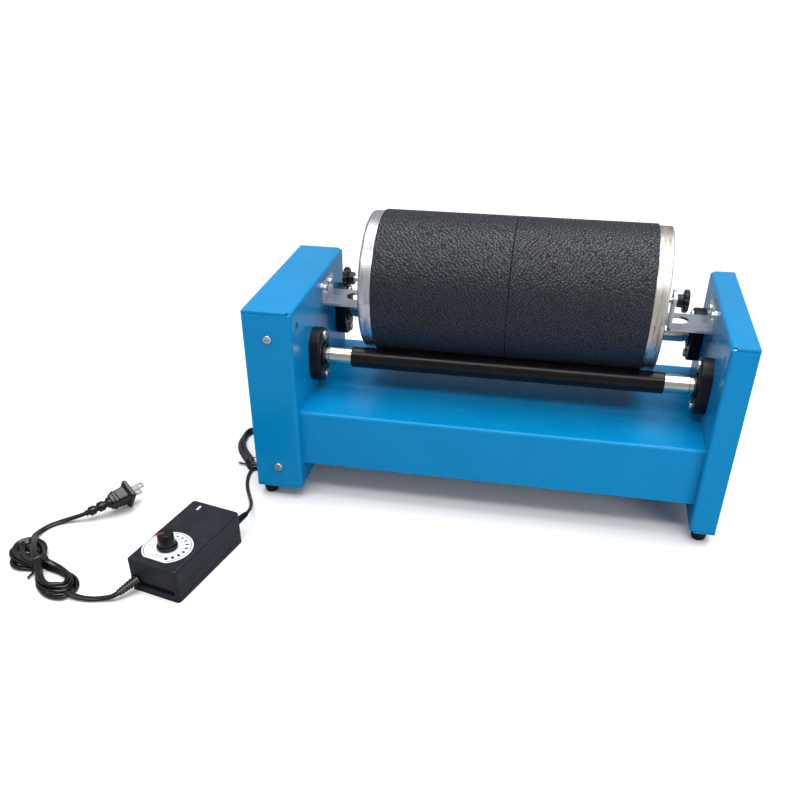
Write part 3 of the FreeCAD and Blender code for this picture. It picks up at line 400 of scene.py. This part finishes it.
# --- the barrel's textured bands ----------------------------------------------------------------
PEBBLE_LENGTH = 0.0036     # size of a pebble of the grain, along its slant and across it
PEBBLE_WIDTH = 0.0024
GRAIN_SLANT = math.radians(40)
GRAIN_DEPTH = 0.0006
GRAIN_SWAY = 0.5           # how far the rows of pebbles wander, in pebbles, and over what distance
SWAY_LENGTH = 0.007
CREASE_STEEPNESS = 2.1
BAND_STEP = 0.00082        # spacing of the mesh that carries the grain
BAND_THICKNESS = 2.2 * MM
BAND_EDGE = 0.7 * MM       # size of the softened edge


def pebble_spot(column, row):
    """A pebble's centre, scattered within its cell of the grid by two sine hashes."""
    first = math.sin(column * 127.1 + row * 311.7) * 43758.5453
    second = math.sin(column * 269.5 + row * 183.3) * 28001.8384
    return column + 0.1 + 0.8 * (first % 1.0), row + 0.1 + 0.8 * (second % 1.0)


def grain_height(along, around, slant):
    """From 0 in a crease to 1 on a pebble, at a place along the band and around it."""
    wobble = noise.noise_vector(Vector((along, around, 0)) / SWAY_LENGTH) * GRAIN_SWAY
    u = (along * math.cos(slant) + around * math.sin(slant)) / PEBBLE_LENGTH + wobble.x
    v = (around * math.cos(slant) - along * math.sin(slant)) / PEBBLE_WIDTH + wobble.y
    gaps = []
    for column in range(math.floor(u) - 1, math.floor(u) + 2):
        for row in range(math.floor(v) - 1, math.floor(v) + 2):
            spot = pebble_spot(column, row)
            gaps.append(math.hypot(spot[0] - u, spot[1] - v))
    near, far = sorted(gaps)[:2]
    return min(1.0, (far - near) * CREASE_STEEPNESS)


def make_band(side):
    node = "textured_band_" + side
    low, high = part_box(node)
    outer = (high.z - low.z) / 2
    inner = outer - BAND_THICKNESS
    edge = BAND_EDGE
    corner = 0.3 * edge
    count = round((high.x - low.x - 2 * edge) / BAND_STEP)
    profile = [(low.x, outer - edge), (low.x + corner, outer - corner)]
    for step in range(count + 1):
        profile.append((low.x + edge + (high.x - low.x - 2 * edge) * step / count, outer))
    profile += [(high.x - corner, outer - corner), (high.x, outer - edge), (high.x, inner), (low.x, inner)]
    shape = bmesh.new()
    ring = [(x, BARREL_AXIS.y, BARREL_AXIS.z + radius) for x, radius in profile]
    lathe(shape, ring, round(2 * math.pi * outer / BAND_STEP), (1, 0, 0), BARREL_AXIS)
    slant = GRAIN_SLANT if side == "left" else -GRAIN_SLANT
    grain = shape.verts.layers.float.new("grain")
    for vertex in shape.verts:
        spoke = Vector((0, vertex.co.y - BARREL_AXIS.y, vertex.co.z - BARREL_AXIS.z))
        if spoke.length > outer - 0.5 * edge:
            around = math.atan2(spoke.y, spoke.z) * outer
            vertex[grain] = grain_height(vertex.co.x, around, slant)
            vertex.co -= spoke.normalized() * (GRAIN_DEPTH * (1 - vertex[grain]))
    band = new_piece("grained_band_" + side, shape, "textured_black_band", 180.0)
    fit(band, "barrel", "textured_black_band", node)


# --- strain reliefs and the plug ----------------------------------------------------------------
RELIEF_INSET = 1.5 * MM    # how far a relief starts inside the controller


def ribbed_profile(length, radii, bore, ribs, groove):
    """A sleeve that tapers from the first radius to the second, with flat ribs; all in metres."""
    root_radius, tip_radius = radii
    chamfer = 0.25 * MM
    profile = [(bore, 0.0)]
    pitch = length / ribs
    for rib in range(ribs):
        start = rib * pitch
        radius = root_radius + (tip_radius - root_radius) * rib / (ribs - 1)
        for share, cut in ((0.0, chamfer), (0.1, 0.0), (0.55, 0.0), (0.65, chamfer), (0.7, groove),
                           (0.95, groove)):
            profile.append((radius - cut, start + share * pitch))
    profile.append((tip_radius - 0.6 * MM, length))
    profile.append((bore, length))
    return profile


def sleeve(name, root, tip, profile, thin_side):
    """A ribbed sleeve round a flat lead; thin_side is its thickness as a share of its width."""
    shape = bmesh.new()
    lathe(shape, [(radius, 0, along) for radius, along in profile], 32, (0, 0, 1), (0, 0, 0))
    bmesh.ops.scale(shape, verts=shape.verts, vec=(1, thin_side, 1))
    bmesh.ops.transform(shape, matrix=aimed(root, tip), verts=shape.verts)
    return new_piece(name, shape, "lead_sheath", 35.0)


def controller_relief(name, root, tip, radii, bore, ribs, groove, thin_side):
    inside = (root - tip).normalized() * RELIEF_INSET
    profile = ribbed_profile((tip - root).length + RELIEF_INSET, radii, bore, ribs, groove)
    relief = sleeve(name, root + inside, tip, profile, thin_side)
    fit(relief, "frame", "lead_sheath", "adapter_reliefs")
    return relief


def make_controller_reliefs():
    mains = controller_relief("mains_relief", MAINS_ROOT, MAINS_TIP, (5.5 * MM, 3.9 * MM), bore=1.0 * MM,
                              ribs=8, groove=0.9 * MM, thin_side=0.82)
    low_voltage = controller_relief("low_voltage_relief", DC_ROOT, DC_TIP, (4.7 * MM, 2.9 * MM),
                                    bore=0.7 * MM, ribs=9, groove=0.7 * MM, thin_side=0.9)
    return mains, low_voltage


PLUG_FACE = Vector((-369.2, -151.1, 17)) * MM          # middle of the face that the blades leave
PLUG_AXIS = Vector((0.5105, 0.8599, 0)).normalized()
PLUG_ROLL = math.radians(31.7)
PLUG_LENGTH = 24 * MM
PLUG_RELIEF_TIP = Vector((-403.2, -185.4, 9)) * MM
# the grip from its face backwards: distance along, half thickness and half width, in millimetres
PLUG_SECTIONS = ((0, 10.3, 12.0), (-0.8, 11.0, 12.7), (-3.9, 11.0, 12.7), (-5.0, 9.9, 11.6),
                 (-6.6, 7.6, 8.9), (-16.6, 7.1, 8.2), (-17.4, 7.8, 8.9), (-20.2, 7.7, 8.7),
                 (-21, 6.9, 7.9), (-24, 6.2, 6.9))


def plug_place():
    """Local X across the plug's thin side, Y along its blades and Z along its wide side."""
    across = PLUG_AXIS.cross(Vector((0, 0, 1))).normalized()
    up = Vector((0, 0, 1))
    wide = up * math.cos(PLUG_ROLL) + across * math.sin(PLUG_ROLL)
    thin = across * math.cos(PLUG_ROLL) - up * math.sin(PLUG_ROLL)
    turn = Matrix((thin, PLUG_AXIS, wide)).transposed().to_4x4()
    return Matrix.Translation(PLUG_FACE) @ turn


def lofted(shape, sections):
    """Extrudes a rectangle through sections of (along, half thickness, half width), in millimetres."""
    first = sections[0]
    made = bmesh.ops.create_grid(shape, x_segments=1, y_segments=1, size=1.0)
    bmesh.ops.rotate(shape, verts=made["verts"], matrix=Matrix.Rotation(math.pi / 2, 3, "X"))
    bmesh.ops.scale(shape, verts=made["verts"], vec=(first[1] * MM, 1, first[2] * MM))
    bmesh.ops.translate(shape, verts=made["verts"], vec=(0, first[0] * MM, 0))
    face = shape.faces[:][0]
    capped = False
    size = first
    for section in sections[1:]:
        grown = bmesh.ops.extrude_face_region(shape, geom=[face])
        if capped and face.is_valid:
            bmesh.ops.delete(shape, geom=[face], context="FACES_ONLY")
        capped = True
        corners = [item for item in grown["geom"] if isinstance(item, bmesh.types.BMVert)]
        bmesh.ops.translate(shape, verts=corners, vec=(0, (section[0] - size[0]) * MM, 0))
        bmesh.ops.scale(shape, verts=corners, vec=(section[1] / size[1], 1, section[2] / size[2]))
        face = next(item for item in grown["geom"] if isinstance(item, bmesh.types.BMFace))
        size = section


def make_plug():
    shape = bmesh.new()
    lofted(shape, PLUG_SECTIONS)
    lengthways = []
    for edge in shape.edges:
        start, end = edge.verts[0].co, edge.verts[1].co
        if start.x * end.x > 0 and start.z * end.z > 0:
            lengthways.append(edge)
    bmesh.ops.bevel(shape, geom=lengthways, offset=2.2 * MM, segments=4, profile=0.5, affect="EDGES",
                    material=-1)
    bmesh.ops.transform(shape, matrix=plug_place(), verts=shape.verts)
    grip = new_piece("plug_grip", shape, "lead_sheath", 32.0)
    grip_bevel = grip.modifiers.new("softened", "BEVEL")
    grip_bevel.width = 0.35 * MM
    grip_bevel.segments = 2
    grip_bevel.limit_method = "ANGLE"
    fit(grip, "frame", "lead_sheath", "plug_body")
    root = plug_place() @ Vector((0, -PLUG_LENGTH + 3.5 * MM, 0))
    length = (PLUG_RELIEF_TIP - root).length
    profile = ribbed_profile(length, (6.3 * MM, 5.4 * MM), bore=1.0 * MM, ribs=3, groove=2.0 * MM)
    relief = sleeve("plug_relief", root, PLUG_RELIEF_TIP, profile, 0.88)
    fit(relief, "frame", "lead_sheath", "plug_body")
    return grip, relief


# --- dial markings and the knob's pointer -------------------------------------------------------
DIAL_START = math.radians(210)       # where the growing blocks begin, round the dial
DIAL_SWEEP = math.radians(-268)
DIAL_BLOCKS = 15
DIAL_RING = 18.2 * MM                # radius of the row of blocks
DIAL_GAP = math.radians(34)          # half of the gap in the outer ring
MARK_HEIGHT = 0.12 * MM
MARK_SINK = 0.02 * MM


def block_on(shape, place, size):
    made = bmesh.ops.create_cube(shape, size=1.0)
    bmesh.ops.scale(shape, verts=made["verts"], vec=size)
    bmesh.ops.transform(shape, matrix=place, verts=made["verts"])


def arc_on(shape, radius, width, start, sweep, steps):
    """A thin raised arc round the local origin."""
    before = set(shape.verts)
    half = width / 2
    corners = [(radius - half, 0, 0), (radius + half, 0, 0), (radius + half, 0, MARK_HEIGHT),
               (radius - half, 0, MARK_HEIGHT)]
    points = [shape.verts.new(corner) for corner in corners]
    face = shape.faces.new(points)
    bmesh.ops.spin(shape, geom=[face, *face.edges, *points], cent=(0, 0, 0), axis=(0, 0, 1),
                   angle=sweep, steps=steps)
    grown = [vertex for vertex in shape.verts if vertex not in before]
    bmesh.ops.rotate(shape, verts=grown, cent=(0, 0, 0), matrix=Matrix.Rotation(start, 3, "Z"))


def make_dial_markings():
    shape = bmesh.new()
    for number in range(DIAL_BLOCKS):
        share = number / (DIAL_BLOCKS - 1)
        angle = DIAL_START + DIAL_SWEEP * share
        tall = (0.9 + 3.2 * share) * MM
        wide = (0.9 + 1.9 * share) * MM
        turn = Matrix.Rotation(angle, 4, "Z")
        spot = Matrix.Translation((DIAL_RING, 0, MARK_HEIGHT / 2))
        block_on(shape, turn @ spot, (tall, wide, MARK_HEIGHT))
    arc_on(shape, 22.3 * MM, 0.55 * MM, math.radians(-90) + DIAL_GAP, 2 * (math.pi - DIAL_GAP), 72)
    arc_on(shape, 14.6 * MM, 0.3 * MM, DIAL_START, DIAL_SWEEP, 48)
    arc_on(shape, 14.2 * MM, 0.5 * MM, math.radians(252), math.radians(36), 12)
    arc_on(shape, 17.0 * MM, 0.5 * MM, math.radians(246), math.radians(48), 12)
    height = top_of("dial_plate") - MARK_SINK
    place = Matrix.Translation((DIAL_CENTRE.x, DIAL_CENTRE.y, height))
    turn = Matrix.Rotation(CONTROLLER_TURN, 4, "Z")
    bmesh.ops.transform(shape, matrix=place @ turn, verts=shape.verts)
    fit(new_piece("dial_markings", shape, "dial_ink"), "frame", "dial_white")


POINTER_ANGLE = math.radians(221)


def make_pointer():
    """A moulded line from the middle of the knob's top over its edge and down its side."""
    top = top_of("speed_knob")
    skirt = top - 13.5 * MM
    shape = bmesh.new()
    block_on(shape, Matrix.Translation((4.2 * MM, 0, top)), (6.4 * MM, 0.9 * MM, 0.5 * MM))
    lean = Matrix.Rotation(math.radians(-3.0), 4, "Y")
    side = Matrix.Translation((7.82 * MM, 0, (top + skirt) / 2 + 0.6 * MM)) @ lean
    block_on(shape, side, (0.7 * MM, 0.9 * MM, 12.2 * MM))
    bmesh.ops.bevel(shape, geom=shape.edges[:], offset=0.12 * MM, segments=2, profile=0.5,
                    affect="EDGES", material=-1)
    place = Matrix.Translation((DIAL_CENTRE.x, DIAL_CENTRE.y, 0)) @ Matrix.Rotation(POINTER_ANGLE, 4, "Z")
    bmesh.ops.transform(shape, matrix=place, verts=shape.verts)
    pointer = new_piece("knob_pointer", shape, "pointer_red")
    fit(pointer, "speed_dial_knob", "knob_plastic")


# --- leads --------------------------------------------------------------------------------------
HANK = Vector((-406, -272, 0)) * MM
HANK_TURN = math.radians(-33.8)
COIL = Vector((-277.5, -10, 0)) * MM
COIL_TURN = math.radians(109.9)
LEAD_SMOOTHNESS = 5        # steps of a lead's curve between two points of its route


def lobed_section(width):
    """The outline of a flat twin lead, two round lobes side by side, as a closed curve."""
    lobe = width / 4
    data = bpy.data.curves.new("section", "CURVE")
    outline = data.splines.new("POLY")
    points = []
    for side in (1, -1):
        for step in range(7):
            angle = math.radians(-126 + 42 * step)
            points.append((side * (lobe + lobe * math.cos(angle)), side * lobe * math.sin(angle)))
    outline.points.add(len(points) - 1)
    for point, (x, y) in zip(outline.points, points):
        point.co = (x, y, 0, 1)
    outline.use_cyclic_u = True
    made = bpy.data.objects.new("section", data)
    bpy.context.scene.collection.objects.link(made)
    return made


def route_curve(name, route, resolution):
    """A smooth line whose control points are (place, tilt) pairs."""
    data = bpy.data.curves.new(name, "CURVE")
    data.dimensions = "3D"
    data.twist_mode = "Z_UP"
    data.resolution_u = resolution
    line = data.splines.new("NURBS")
    line.points.add(len(route) - 1)
    for point, (place, tilt) in zip(line.points, route):
        point.co = (*place, 1)
        point.tilt = tilt
    line.order_u = 3
    line.use_endpoint_u = True
    made = bpy.data.objects.new(name, data)
    bpy.context.scene.collection.objects.link(made)
    return made


def read_line(curve):
    """The points that a curve runs through."""
    curve.data.bevel_mode = "ROUND"
    curve.data.bevel_depth = 0
    mesh = bpy.data.meshes.new_from_object(curve)
    return [vertex.co.copy() for vertex in mesh.vertices]


def flat_lead(name, route, width):
    """The mesh of a flat twin lead along a route, and the points down its middle."""
    curve = route_curve(name + "_route", route, LEAD_SMOOTHNESS)
    section = lobed_section(width)
    curve.data.bevel_mode = "OBJECT"
    curve.data.bevel_object = section
    curve.data.use_fill_caps = True
    ready = bpy.context.evaluated_depsgraph_get()
    mesh = bpy.data.meshes.new_from_object(curve.evaluated_get(ready), depsgraph=ready)
    line = read_line(curve)
    bpy.data.objects.remove(curve)
    bpy.data.objects.remove(section)
    shape = bmesh.new()
    shape.from_mesh(mesh)
    return new_piece(name, shape, "lead_sheath", 50.0), line


def swirl(origin, turn, a, n, z):
    """A point given in millimetres along a coil, across it and above the floor."""
    spot = Matrix.Rotation(turn, 4, "Z") @ (Vector((a, n, z)) * MM)
    return origin + spot


def free_run(points, tilt=0.0):
    """Route points given in millimetres in the object's own frame."""
    return [(Vector(point) * MM, tilt) for point in points]


# one turn of the mains hank, along and across it: both loops, pinched at the tie between them
HANK_LOOP = [(52, -5), (43, -14), (29, -16.5), (14, -10), (0, -3.3), (-14, -9), (-28, -16), (-41, -15),
             (-50, -6), (-50, 5), (-41, 14), (-28, 16), (-14, 9), (0, 3.3), (14, 10), (28, 17),
             (42, 16), (51, 6)]
# for each turn and each of its two loops: reach, width and how far it fans round the tie, in degrees;
# then the turn's lift in the loops and how far its flat side leans over, in degrees
HANK_TURNS = [((1.1, 0.95, -2), (0.7, 0.62, 20), 2.5, 22), ((1.0, 0.86, -5), (0.95, 0.62, 6), 3.2, 38),
              ((0.93, 0.8, -3), (1.02, 0.88, -7), 5.6, 20), ((0.84, 0.7, -1), (0.93, 0.55, -9), 6.2, 36)]
HANK_PINCH = 27            # how far from the tie the turns are still drawn together
TIE_BASE = 1.7             # height of the lowest strand under the tie, and of each strand above it
TIE_STEP = 3.2
# the last strand lies across the other turns: along, across, height and lean
HANK_END = ((41, -4, 8.5, 24), (34.5, -12, 9, 16), (24, -11.5, 10.5, 10), (13, -7, 13, 4),
            (-1.5, -3.3, TIE_BASE + TIE_STEP * len(HANK_TURNS), 0), (-14, 1.0, 14, 0),
            (-27, 6.2, 12, 0), (-38, 12.8, 9, 0))
CONTROLLER_TO_HANK = ((-323, -301.5, 2.6), (-336, -305.5, 2.2), (-350, -306.5, 3.4), (-361, -304, 5.5))
HANK_TO_PLUG = ((-439.5, -229.5, 5.2), (-440.5, -217.5, 2.4), (-437, -206, 1.9), (-429.5, -197, 2.0),
                (-416, -190.2, 5.0))


def hank_route():
    route = []
    for number, (right_loop, left_loop, lift, lean) in enumerate(HANK_TURNS):
        tied = TIE_BASE + TIE_STEP * number
        for a, n in HANK_LOOP:
            reach, width, fan = right_loop if a > 0 else left_loop
            pinch = max(0.0, 1 - abs(a) / HANK_PINCH)
            wide = width + (1 - width) * pinch
            z = lift + (tied - lift) * pinch
            spot = Matrix.Rotation(math.radians(fan * (1 - pinch)), 3, "Z") @ Vector((a * reach, n * wide, z))
            route.append((swirl(HANK, HANK_TURN, *spot), math.radians(lean * (1 - pinch))))
    for a, n, z, lean in HANK_END:
        route.append((swirl(HANK, HANK_TURN, a, n, z), math.radians(lean)))
    return route


def mains_route():
    """Controller, hank, plug."""
    out = (MAINS_TIP - MAINS_ROOT).normalized()
    route = [(MAINS_TIP - out * 4 * MM, 0.0), (MAINS_TIP + out * 3 * MM, 0.0)]
    route += free_run(CONTROLLER_TO_HANK, math.radians(4)) + hank_route() + free_run(HANK_TO_PLUG)
    into = (plug_place() @ Vector((0, -PLUG_LENGTH, 0)) - PLUG_RELIEF_TIP).normalized()
    route.append((PLUG_RELIEF_TIP - into * 2 * MM, 0.0))
    route.append((PLUG_RELIEF_TIP + into * 6 * MM, 0.0))
    return route


# one turn of the low-voltage coil, an oval drawn together at its front end
COIL_LOOP = [(42, -5), (43, 5), (33, 13), (16, 17), (-2, 16.5), (-18, 12.5), (-30, 9), (-40, 8),
             (-45.5, 5.5), (-47.5, 0), (-45.5, -5.5), (-40, -8), (-30, -9), (-18, -12), (-2, -16), (16, -17),
             (33, -13)]
COIL_TURNS = [(1.0, 1.1, 1.3), (0.93, 0.86, 1.6), (0.98, 1.0, 3.9), (0.9, 0.75, 4.1)]  # reach, width, lift
COIL_TIE = -36             # where the tie is, along the coil
COIL_PINCH = 24
COIL_BASE = 1.2            # height of the lowest strand under the tie, and of each strand above it
COIL_STEP = 2.1
# the last strand, along the coil, across it and above the floor
COIL_END = ((40, -3, 6.4), (42, 5, 6.2), (32, 11, 6.2), (16, 13, 6), (-2, 12, 6), (-18, 8, 6.5),
            (-31, 3.5, 8), (-39, 1.5, 6.5))
GLAND_TO_COIL = ((-263, 30.5, 46.5), (-274.5, 31, 38), (-283.5, 31, 25), (-288, 30.5, 13.5),
                 (-289.5, 30, 6.5))
COIL_TO_CONTROLLER = ((-264.5, -55, 2.6), (-265.5, -66, 1.5), (-262.5, -80, 1.3), (-257.5, -93.5, 1.3),
                      (-250.5, -107.5, 2.2), (-243, -122, 5.6), (-236.5, -137, 11.3),
                      (-231.5, -152, 17.3))


def low_voltage_route():
    """Gland, coil, controller."""
    route = [(GLAND_END + Vector((4, 0, 0)) * MM, 0.0), (GLAND_END - Vector((3, 0, 0)) * MM, 0.0)]
    route += free_run(GLAND_TO_COIL, math.radians(80))
    for number, (reach, width, lift) in enumerate(COIL_TURNS):
        drift = 0.8 * math.sin(2.1 * number)
        for a, n in COIL_LOOP:
            pinch = max(0.0, 1 - abs(a - COIL_TIE) / COIL_PINCH)
            z = lift + (COIL_BASE + COIL_STEP * number - lift) * pinch
            wide = width + (1 - width) * pinch
            route.append((swirl(COIL, COIL_TURN, a * reach + drift, n * wide, z),
                          math.radians(25 * (1 - pinch))))
    route += [(swirl(COIL, COIL_TURN, *point), 0.2) for point in COIL_END]
    route += free_run(COIL_TO_CONTROLLER)
    into = (DC_ROOT - DC_TIP).normalized()
    route.append((DC_TIP - into * 2 * MM, 0.0))
    route.append((DC_TIP + into * 5 * MM, 0.0))
    return route


# a tie, in millimetres: height of its lowest run, and of its tails, how far they reach out and lean,
# and the radius of their twist
TIE_LIFT = 0.8
TAIL_HEIGHT = 2.4
TAIL_REACH = 9
TAIL_LEAN = 5
TAIL_TWIST = 0.75
TIE_WIRE_RADIUS = 0.62 * MM


def wire_tie(name, origin, turn, at, half_width, height, tail_side):
    """A coated wire wound once round a bundle, its two ends twisted together beside it."""
    hoop = []
    for step in range(17):
        angle = math.radians(-60 + 360 * step / 16)
        n = half_width * math.copysign(abs(math.cos(angle)) ** 0.6, math.cos(angle))
        z = height / 2 * (1 + math.copysign(abs(math.sin(angle)) ** 0.7, math.sin(angle)))
        hoop.append((at + 0.5 * math.sin(angle), tail_side * n, TIE_LIFT + z))
    tail = []
    other_tail = []
    for step in range(13):
        along = step / 12
        spin = along * 3 * math.pi
        a = at + TAIL_TWIST * math.cos(spin) + TAIL_LEAN * along
        n = tail_side * (half_width + TAIL_REACH * along)
        z = TAIL_HEIGHT + TAIL_TWIST * math.sin(spin)
        tail.append((a, n, z))
        other_tail.append((2 * (at + TAIL_LEAN * along) - a, n, 2 * TAIL_HEIGHT - z))
    shape = bmesh.new()
    for strand in (hoop, tail, other_tail):
        curve = route_curve(name, [(swirl(origin, turn, *point), 0.0) for point in strand], 4)
        curve.data.bevel_depth = TIE_WIRE_RADIUS
        curve.data.bevel_resolution = 2
        curve.data.use_fill_caps = True
        mesh = bpy.data.meshes.new_from_object(curve)
        shape.from_mesh(mesh)
        bpy.data.objects.remove(curve)
    tie = new_piece(name, shape, "lead_sheath")
    fit(tie, "frame", "lead_sheath", "cord_ties")
    return tie


def make_leads(mains_relief, low_voltage_relief, plug_grip, plug_relief):
    mains, line = flat_lead("mains_lead", mains_route(), 6.2 * MM)
    fit(mains, "frame", "lead_sheath", "mains_cord_adapter_end", "mains_hank", "mains_cord_plug_end")
    hank_tie = wire_tie("hank_tie", HANK, HANK_TURN, at=0, half_width=8.2, height=16.0, tail_side=-1)
    low_voltage, line = flat_lead("low_voltage_lead", low_voltage_route(), 4.0 * MM)
    fit(low_voltage, "frame", "lead_sheath", "dc_cord_machine_end", "dc_coil", "dc_cord_adapter_end")
    coil_tie = wire_tie("coil_tie", COIL, COIL_TURN, at=COIL_TIE, half_width=10.2, height=9.6, tail_side=1)


# --- room, light and camera ---------------------------------------------------------------------
PAPER_SEEN = (0.93, 0.93, 0.93)      # the floor's colour to the camera, and to the light it throws back
PAPER_LIT = (0.36, 0.37, 0.39)
SKY_SEEN = 1.05                      # the sky's strength, likewise
SKY_LIT = 0.45
FLOOR_REACH = 60.0


def camera_ray(tree):
    """1 where the camera looks at the room itself, 0 where the object is lit by it or mirrors it."""
    return add_node(tree, "ShaderNodeLightPath").outputs["Is Camera Ray"]


def make_floor():
    shape = bmesh.new()
    bmesh.ops.create_grid(shape, x_segments=1, y_segments=1, size=FLOOR_REACH)
    mesh = bpy.data.meshes.new("floor")
    shape.to_mesh(mesh)
    shape.free()
    floor = bpy.data.objects.new("floor", mesh)
    bpy.context.scene.collection.objects.link(floor)
    paper = bpy.data.materials.new("floor_paper")
    paper.use_nodes = True
    tree = paper.node_tree
    shader = tree.nodes["Principled BSDF"]
    wire(tree, mixed(tree, camera_ray(tree), PAPER_LIT, PAPER_SEEN), shader.inputs["Base Color"])
    shader.inputs["Roughness"].default_value = 0.7
    shader.inputs["Specular IOR Level"].default_value = 0.2
    mesh.materials.append(paper)


def softbox(name, place, target, width, height, power):
    data = bpy.data.lights.new(name, "AREA")
    data.shape = "RECTANGLE"
    data.size = width
    data.size_y = height
    data.energy = power
    light = bpy.data.objects.new(name, data)
    light.location = place
    light.rotation_mode = "QUATERNION"
    light.rotation_quaternion = (Vector(target) - Vector(place)).to_track_quat("-Z", "Y")
    bpy.context.scene.collection.objects.link(light)


def daylight(name, heading, strength, spread):
    """Even light from far away; heading points from the object to it, and spread softens its shadows."""
    data = bpy.data.lights.new(name, "SUN")
    data.energy = strength
    data.angle = math.radians(spread)
    light = bpy.data.objects.new(name, data)
    light.rotation_mode = "QUATERNION"
    light.rotation_quaternion = Vector(heading).to_track_quat("Z", "Y")
    bpy.context.scene.collection.objects.link(light)


def make_light():
    world = bpy.data.worlds.new("studio")
    world.use_nodes = True
    tree = world.node_tree
    sky = tree.nodes["Background"]
    sky.inputs["Color"].default_value = (0.98, 0.99, 1.0, 1)
    wire(tree, remapped(tree, camera_ray(tree), 0.0, 1.0, SKY_LIT, SKY_SEEN), sky.inputs["Strength"])
    bpy.context.scene.world = world
    daylight("overhead", heading=(0.1, 0.15, 1.0), strength=2.5, spread=50)
    softbox("gloss_strip", (-0.1, -0.7, 1.14), target=(0.0, 0.0, 0.2), width=1.3, height=0.26, power=7)
    softbox("front_right", (1.0, -1.0, 0.45), target=(0.2, 0.0, 0.1), width=0.6, height=0.6, power=5.5)
    bpy.context.scene.view_settings.view_transform = "Standard"


CAMERA_PLACE = Vector((0.0674, -0.8543, 0.5302))
CAMERA_AIM = Vector((-0.1721, 0.8057, -0.5668)).normalized()
CAMERA_ROLL = math.radians(-0.326)


def make_camera():
    data = bpy.data.cameras.new("camera")
    data.sensor_width = 36.0
    data.lens = 38.97
    data.shift_x = 0.0131
    data.shift_y = 0.136
    data.clip_end = 200
    across = CAMERA_AIM.cross(Vector((0, 0, 1))).normalized()
    up = across.cross(CAMERA_AIM)
    right = across * math.cos(CAMERA_ROLL) + up * math.sin(CAMERA_ROLL)
    above = up * math.cos(CAMERA_ROLL) - across * math.sin(CAMERA_ROLL)
    turn = Matrix((right, above, -CAMERA_AIM)).transposed().to_4x4()
    camera = bpy.data.objects.new("camera", data)
    camera.matrix_world = Matrix.Translation(CAMERA_PLACE) @ turn
    bpy.context.scene.collection.objects.link(camera)
    bpy.context.scene.camera = camera


make_camera()
make_light()
make_floor()
finish_nodes()
for side in ("left", "right"):
    make_band(side)
make_dial_markings()
make_pointer()
make_leads(*make_controller_reliefs(), *make_plug())
